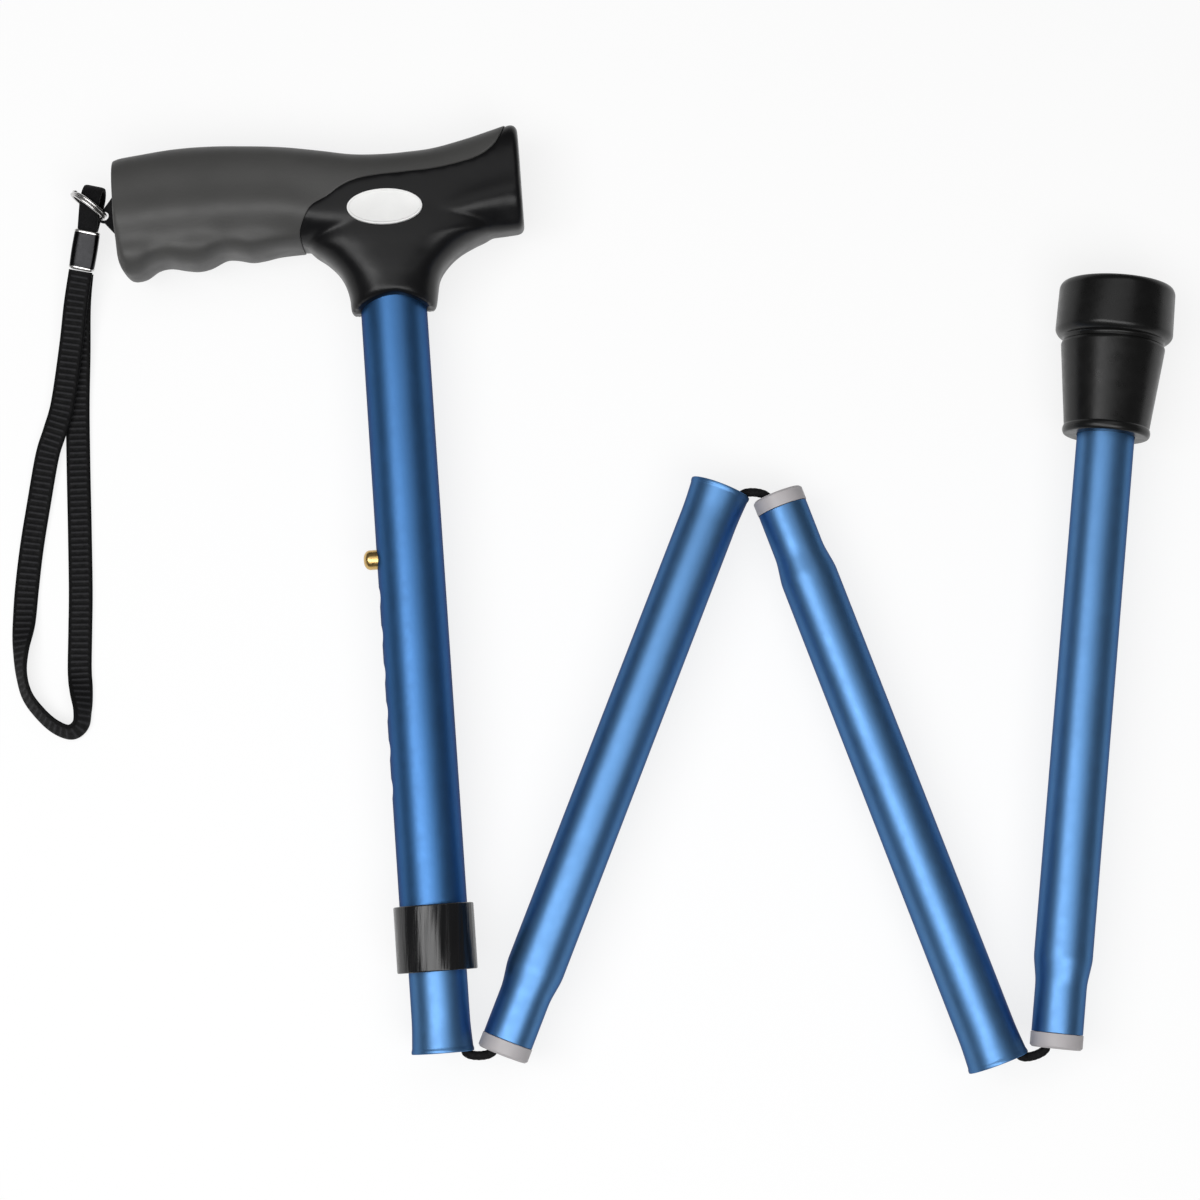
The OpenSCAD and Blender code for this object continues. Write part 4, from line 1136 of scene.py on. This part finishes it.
class CANE_OT_handle(bpy.types.Operator):
    """Makes the handle: moulded core, soft cover and blank badge"""

    bl_idname = "cane.handle"
    bl_label = "Handle"

    def execute(self, context):
        self.sides = arm_sides()
        self.core()
        self.cover()
        self.badge()
        return {"FINISHED"}

    def core(self):
        """Arm and neck, merged into one skin and smoothed."""
        bm = self.arm()
        neck = self.neck()
        joined = bpy.data.meshes.new("neck")
        neck.to_mesh(joined)
        neck.free()
        bm.from_mesh(joined)
        bpy.data.meshes.remove(joined)
        plastic = moulded("core_plastic", paint("core"), grain=45, rough=(0.28, 0.36), gloss=0.25)
        piece = finish_piece(
            bm, "handle_body", section("handle"), plastic, "handle_section", "handle_core", "core", 60
        )
        remesh = piece.modifiers.new("skin", "REMESH")
        remesh.mode = "VOXEL"
        remesh.voxel_size = CORE_VOXEL
        smooth = piece.modifiers.new("ease", "SMOOTH")
        smooth.factor = 0.5
        smooth.iterations = CORE_EASING
        graph = bpy.context.evaluated_depsgraph_get()
        solid = bpy.data.meshes.new_from_object(piece.evaluated_get(graph), depsgraph=graph)
        piece.modifiers.clear()
        old, piece.data = piece.data, solid
        bpy.data.meshes.remove(old)
        solid.name = "handle_body"
        solid.shade_smooth()

    def arm(self):
        """The core's arm: under the cover, out to the nose, and round the nose's end."""
        size = sizes()
        start = size.end_round + size.grip_wall - size.grip_reach
        nose = size.handle_len - size.grip_reach
        rows = [("under", k / 24) for k in range(25)] + [("nose", k / 36) for k in range(37)]
        rows += [("cap", k / 6) for k in range(1, 7)]

        def point(i, j):
            kind, t = rows[i]
            angle, edge = self.sides[j]
            if kind == "under":
                return arm_point(start + (edge - start) * t, angle, CORE_UNDER)
            if kind == "nose":
                return arm_point(edge + (nose - size.nose_round - edge) * t, angle, CORE_BEYOND)
            turn = pi / 2 * t
            x = nose - size.nose_round * (1 - sin(turn))
            return arm_point(x, angle, CORE_BEYOND * (1 - t) + size.nose_round * (1 - cos(turn)))

        return loft(len(rows), ARM_SIDES, point)

    def neck(self):
        """The core's neck, from its arched rim up into the arm."""
        size = sizes()

        def point(i, j):
            share = NECK[-1][0] * i / (NECK_ROWS - 1)
            angle = 2 * pi * j / NECK_SIDES
            roundness = NECK_RIM + (NECK_UPPER - NECK_RIM) * min(share / NECK_TURN, 1)
            across, deep = swell(cos(angle), roundness), swell(sin(angle), roundness)
            left, right, depth = (eased(NECK, share, k) for k in (1, 2, 3))
            arch = ARCH_RISE * abs(sin(angle)) ** ARCH_BOW * max(1 - share / ARCH_REACH, 0)
            return Vector((
                (left if across < 0 else right) * size.handle_w * across,
                depth * size.handle_w * deep,
                size.neck_height + share * size.handle_h + arch,
            ))

        return loft(NECK_ROWS, NECK_SIDES, point)

    def cover(self):
        """Soft cover over the grip and along the top, with a rounded lip where it ends."""
        size = sizes()
        rows = [("end", k / 6) for k in range(7)] + [("skin", k / 96) for k in range(1, 97)]
        rows += [("lip", 0.35), ("lip", 0.7), ("lip", 1)]
        rows += [("lining", 1 - k / 12) for k in range(13)]

        def point(i, j):
            kind, t = rows[i]
            angle, edge = self.sides[j]
            soft = soft_end(angle)
            start = soft - size.grip_reach
            turn = pi / 2 * t
            if kind == "end":
                return arm_point(start - soft * cos(turn), angle, soft * (1 - sin(turn)))
            if kind == "skin":
                return arm_point(start + (edge - start) * t, angle, 0)
            if kind == "lip":
                return arm_point(edge + LIP_OUT * sin(turn), angle, LIP_DEEP * (1 - cos(turn)))
            inner = size.end_round - size.grip_reach
            return arm_point(inner + (edge - inner) * t, angle, LINING_DEEP)

        made = Finish("grip_cover")
        made.cloud(made.noise(38, detail=5), paint("grip"), (0.9, 1.1))
        made.roughness(made.noise(160), (0.43, 0.53))
        made.bump(made.noise(1700, detail=2), 0.25, 0.1 * MM)
        made.set(Specular_IOR_Level=0.34, Sheen_Weight=0.05, Sheen_Roughness=0.5)
        bm = loft(len(rows), ARM_SIDES, point)
        finish_piece(
            bm, "soft_cover", section("handle"), made.material, "handle_section", "grip_cover", "grip", 50
        )

    def badge(self):
        """Blank oval plate with a thin raised rim."""
        size = sizes()
        bm = bmesh.new()
        disc = bmesh.ops.create_circle(bm, cap_ends=True, segments=96, radius=0.5)["verts"]
        bmesh.ops.scale(bm, vec=(size.badge_len, size.badge_h, 1), verts=disc)
        raised = bmesh.ops.extrude_face_region(bm, geom=bm.faces[:])["geom"]
        upper = [part for part in raised if isinstance(part, bmesh.types.BMVert)]
        face = [part for part in raised if isinstance(part, bmesh.types.BMFace)]
        bmesh.ops.translate(bm, vec=(0, 0, BADGE_T), verts=upper)
        bmesh.ops.inset_region(bm, faces=face, thickness=BADGE_RIM, depth=0)
        bmesh.ops.inset_region(bm, faces=face, thickness=BADGE_STEP, depth=-BADGE_DEEP)
        bmesh.ops.recalc_face_normals(bm, faces=bm.faces)
        folds = [edge for edge in bm.edges if edge.is_manifold and edge.calc_face_angle(0) > radians(40)]
        rim = [edge for edge in folds if edge.verts[0].co.z > BADGE_T / 2]
        bmesh.ops.bevel(
            bm, geom=rim, offset=BADGE_SOFT, offset_type="OFFSET", segments=2, profile=0.5, affect="EDGES",
            material=-1,
        )
        plate = moulded(
            "badge_plate", paint("badge"), grain=120, rough=(0.3, 0.42), gloss=0.4, bump=0.05,
            spread=(0.97, 1.02),
        )
        level = size.neck_height + BADGE_LEVEL * size.handle_h
        seat = (
            section("handle")
            @ Matrix.Translation((0, -BADGE_SEAT * size.handle_w, level))
            @ Matrix.Rotation(BADGE_LEAN, 4, "Y")
            @ Matrix.Rotation(pi / 2, 4, "X")
        )
        finish_piece(bm, "blank_badge", seat, plate, "handle_section", "handle_badge", "badge", 30)


TUBE_LIP = 0.35 * MM
# The fourth tube ends this far above the floor of its socket
TUBE_SHORT = 1.7 * MM


class CANE_OT_tubes(bpy.types.Operator):
    """Makes the drawn tubes with their flared mouths and tapered ends"""

    bl_idname = "cane.tubes"
    bl_label = "Tubes"

    def execute(self, context):
        size = sizes()
        outer, bore = size.tube_od / 2, size.tube_od / 2 - size.tube_wall
        head = size.inner_len
        end = size.foot_section_len + size.foot_seat - TUBE_SHORT
        lower = self.spigot() + self.mouth(size.section_len, 1)
        blue = self.anodised("anodised_blue", "anodised")
        for node, where, body, outline in (
            ("inner_tube", "handle", "upper_shaft",
             self.mouth(0, -1) + ((bore, head, TUBE_LIP), (outer, head, TUBE_LIP))),
            ("second_tube", "second", "second_section", lower),
            ("third_tube", "third", "third_section", lower),
            ("fourth_tube", "fourth", "fourth_section", self.spigot() + ((outer, end, 0), (bore, end, 0))),
        ):
            turned(node + "_drawn", outline, section(where), blue, body, node, "anodised")
        dress("outer_tube", self.anodised("outer_blue", "outer"))
        return {"FINISHED"}

    def anodised(self, name, shade):
        """Dyed aluminium, darker where it is seen at a slant."""
        return metal(
            name, paint(shade), rough=(0.42, 0.48), grain=40, edge=(0.01, 0.02, 0.05), spread=(0.96, 1.04),
            coat=0.2,
        )

    def spigot(self):
        """Outline of a drawn-down end: along its bore, round its rim and out to the full tube."""
        size = sizes()
        outer, thin, wall = size.tube_od / 2, size.spigot_od / 2, size.tube_wall
        full = size.spigot_len + size.taper_len
        return (
            (outer - wall, full, 5 * MM), (thin - wall, size.spigot_len, 5 * MM),
            (thin - wall, size.collar_len, 0), (thin, size.collar_len, 0.25 * MM),
            (thin, size.spigot_len + 1.5 * MM, 2 * MM), (outer, full - MM, 1.5 * MM),
        )

    def mouth(self, end, way):
        """Outline of a flared mouth that faces up or down: out along its flare and in at its bore."""
        size = sizes()
        outer = size.tube_od / 2
        bore = outer - size.tube_wall
        flared, flare = outer + size.mouth_flare, way * size.flare_len
        return (
            (outer, end - flare, 3 * MM), (flared - 0.25 * MM, end - way * 1.6 * MM, 0.5 * MM),
            (flared, end - way * 0.9 * MM, 0.3 * MM), (flared, end, TUBE_LIP),
            (bore + size.mouth_flare, end, TUBE_LIP), (bore, end - flare, 2 * MM),
        )


class CANE_OT_height_setting(bpy.types.Operator):
    """Makes the height setting: the black end collar and the brass button"""

    bl_idname = "cane.height_setting"
    bl_label = "End collar and button"

    def execute(self, context):
        self.end_collar()
        self.button()
        return {"FINISHED"}

    def end_collar(self):
        """Glossy collar on the outer tube's end, with drawn streaks and a lip round the inner tube."""
        size = sizes()
        low, high = size.sleeve_start, size.sleeve_start + size.sleeve_len
        lip = low + 2 * MM
        full = size.sleeve_od / 2
        slide = 0.1 * MM
        inner, outer = size.tube_od / 2 + slide, size.outer_od / 2 + FIT
        made = Finish("end_collar_gloss")
        lean = asin(JOINTS["height_setting"]["axis"][0])
        streaks = made.noise(700, detail=3, stretch=(1, 0.05, 1), turn=-lean)
        made.cloud(made.noise(60), paint("sleeve"), (0.8, 1.25))
        made.roughness(streaks, (0.08, 0.34))
        made.bump(streaks, 0.6, 0.3 * MM)
        made.set(Specular_IOR_Level=0.5)
        outline = (
            (inner, low, 0.2 * MM), (full, low, 0.5 * MM), (full, high, 0.5 * MM), (outer, high, 0.3 * MM),
            (outer, lip, 0), (inner, lip, 0.2 * MM),
        )
        place = section("handle")
        turned("end_collar_ring", outline, place, made.material, "handle_section", "end_collar", "sleeve")

    def button(self):
        """Brass button with a soft dome, pointing out of the outer tube's left side."""
        size = sizes()
        inside = size.tube_od / 2 - size.tube_wall
        base = inside - size.tube_wall - 0.2 * MM
        reach = size.outer_od / 2 + size.button_proud - base
        r = size.button_d / 2
        outline = (
            (0, 0, 0), (r, 0, 0.2 * MM), (r, reach - 1.3 * MM, 1.2 * MM),
            (r - 1.5 * MM, reach - 0.1 * MM, MM), (0, reach, 0),
        )
        seat = (
            section("handle")
            @ Matrix.Translation((-base, 0, size.button_height))
            @ Matrix.Rotation(-pi / 2, 4, "Y")
        )
        brass = metal("button_brass", paint("brass"), rough=(0.2, 0.34), grain=120)
        turned("brass_button", outline, seat, brass, "button", "height_button", "brass", turns=48)


class CANE_OT_collars(bpy.types.Operator):
    """Makes the grey collars at the ends of the lower sections"""

    bl_idname = "cane.collars"
    bl_label = "Section collars"

    def execute(self, context):
        size = sizes()
        full, bore = size.collar_od / 2, size.collar_bore / 2
        plug = size.spigot_od / 2 - size.tube_wall - FIT
        seat, end = size.collar_len - 0.1 * MM, size.collar_len + size.plug_len
        chamfer, crisp = 0.7 * MM, 0.12 * MM
        funnel, soft = 0.8 * MM, 0.5 * MM
        outline = (
            (bore + funnel, 0, soft), (full - chamfer, 0, crisp), (full, chamfer, crisp),
            (full, seat, crisp), (plug, seat, 0), (plug, end, 0.4 * MM), (bore, end, 0.4 * MM),
            (bore, funnel, soft),
        )
        grey = moulded(
            "collar_nylon", paint("collar"), grain=70, rough=(0.36, 0.5), gloss=0.4, spread=(0.93, 1.07)
        )
        for name in SECTIONS:
            body, node = name + "_section", name + "_collar"
            turned(node + "_ring", outline, section(name), grey, body, node, "collar")
        return {"FINISHED"}


class CANE_OT_foot(bpy.types.Operator):
    """Makes the rubber foot with its rolled rim, groove and ringed ground face"""

    bl_idname = "cane.foot"
    bl_label = "Foot"

    def execute(self, context):
        size = sizes()
        start, high = size.foot_section_len, size.foot_h
        ground, socket = start + high, start + size.foot_seat
        full = size.foot_d / 2
        rim = 0.75 * full
        seat = size.tube_od / 2 + FIT
        ring = ground - 2 * MM
        outline = (
            (seat, start, 0.3 * MM), (rim - 0.5 * MM, start, 0.8 * MM), (rim, start + 0.028 * high, 0.8 * MM),
            (rim - 0.2 * MM, start + 0.05 * high, 0.5 * MM), (0.725 * full, start + 0.058 * high, 0.5 * MM),
            (0.885 * full, start + 0.59 * high, 1.2 * MM), (0.87 * full, start + 0.605 * high, 0.6 * MM),
            (0.86 * full, start + 0.61 * high, 0.4 * MM), (0.86 * full, start + 0.635 * high, 0.6 * MM),
            (0.94 * full, start + 0.645 * high, MM), (full, start + 0.675 * high, 1.2 * MM),
            (0.985 * full, ground - 1.6 * MM, 1.2 * MM), (0.93 * full, ground, MM),
            (0.62 * full, ground, 0.4 * MM), (0.62 * full, ring, 0.4 * MM),
            (0.5 * full, ring, 0.4 * MM), (0.5 * full, ground, 0.4 * MM), (0, ground, 0),
            (0, socket, 0), (seat, socket, 0),
        )
        rubber = moulded(
            "foot_rubber", paint("foot"), grain=50, rough=(0.26, 0.36), gloss=0.33, bump=0.2,
            spread=(0.75, 1.4),
        )
        turned("foot_rubber_tip", outline, section("fourth"), rubber, "fourth_section", "rubber_foot", "foot")
        return {"FINISHED"}


class CANE_OT_hidden(bpy.types.Operator):
    """Gives the pieces inside the tubes and the handle their finishes"""

    bl_idname = "cane.hidden"
    bl_label = "Hidden pieces"

    def execute(self, context):
        steel = metal("spring_steel", paint("steel"), rough=(0.25, 0.4))
        nylon = moulded(
            "white_nylon", paint("nylon"), grain=80, rough=(0.4, 0.55), gloss=0.4, spread=(0.95, 1.04)
        )
        knot = woven("knot_braid", paint("elastic"), fibres=2500, gloss=0.2, sheen=0.15)
        for material, nodes in (
            (steel, ("handle_pin", "button_spring", "foot_washer")),
            (nylon, ("guide_bush", "cord_plug_top", "cord_plug_bottom")),
            (knot, ("cord_knot_top", "cord_knot_bottom")),
        ):
            for node in nodes:
                dress(node, material)
        return {"FINISHED"}


class CANE_PT_panel(bpy.types.Panel):
    """Lists the steps that build the cane, and its sizes and colours"""

    bl_idname = "CANE_PT_panel"
    bl_label = "Folding cane"
    bl_space_type = "VIEW_3D"
    bl_region_type = "UI"
    bl_category = "Cane"

    def draw(self, context):
        for step in STEPS:
            self.layout.operator(step.bl_idname)
        for group in (context.scene.cane_sizes, context.scene.cane_colours):
            column = self.layout.column()
            for name in group.__annotations__:
                column.prop(group, name)


STEPS = (
    CANE_OT_stage, CANE_OT_strap, CANE_OT_elastic, CANE_OT_handle, CANE_OT_tubes, CANE_OT_height_setting,
    CANE_OT_collars, CANE_OT_foot, CANE_OT_hidden,
)
CLASSES = (CaneSizes, CaneColours) + STEPS + (CANE_PT_panel,)


def register():
    """Adds the cane's classes, and its sizes and colours on the scene."""
    for each in CLASSES:
        bpy.utils.register_class(each)
    bpy.types.Scene.cane_sizes = bpy.props.PointerProperty(type=CaneSizes)
    bpy.types.Scene.cane_colours = bpy.props.PointerProperty(type=CaneColours)


def unregister():
    """Takes them away again."""
    del bpy.types.Scene.cane_colours
    del bpy.types.Scene.cane_sizes
    for each in reversed(CLASSES):
        bpy.utils.unregister_class(each)


def main():
    """Builds the stage and the cane, and writes the boxes of the solids and of the finished pieces."""
    register()
    bpy.ops.cane.stage()
    bpy.ops.cane.strap()
    bpy.ops.cane.elastic()
    bpy.ops.cane.handle()
    bpy.ops.cane.tubes()
    bpy.ops.cane.height_setting()
    bpy.ops.cane.collars()
    bpy.ops.cane.foot()
    bpy.ops.cane.hidden()
    boxes = {"cad": CAD_BOX, "visual": [list(corner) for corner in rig.bounds()]}
    with open("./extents.json", "w") as out:
        json.dump(boxes, out)


if __name__ == "__main__":
    main()
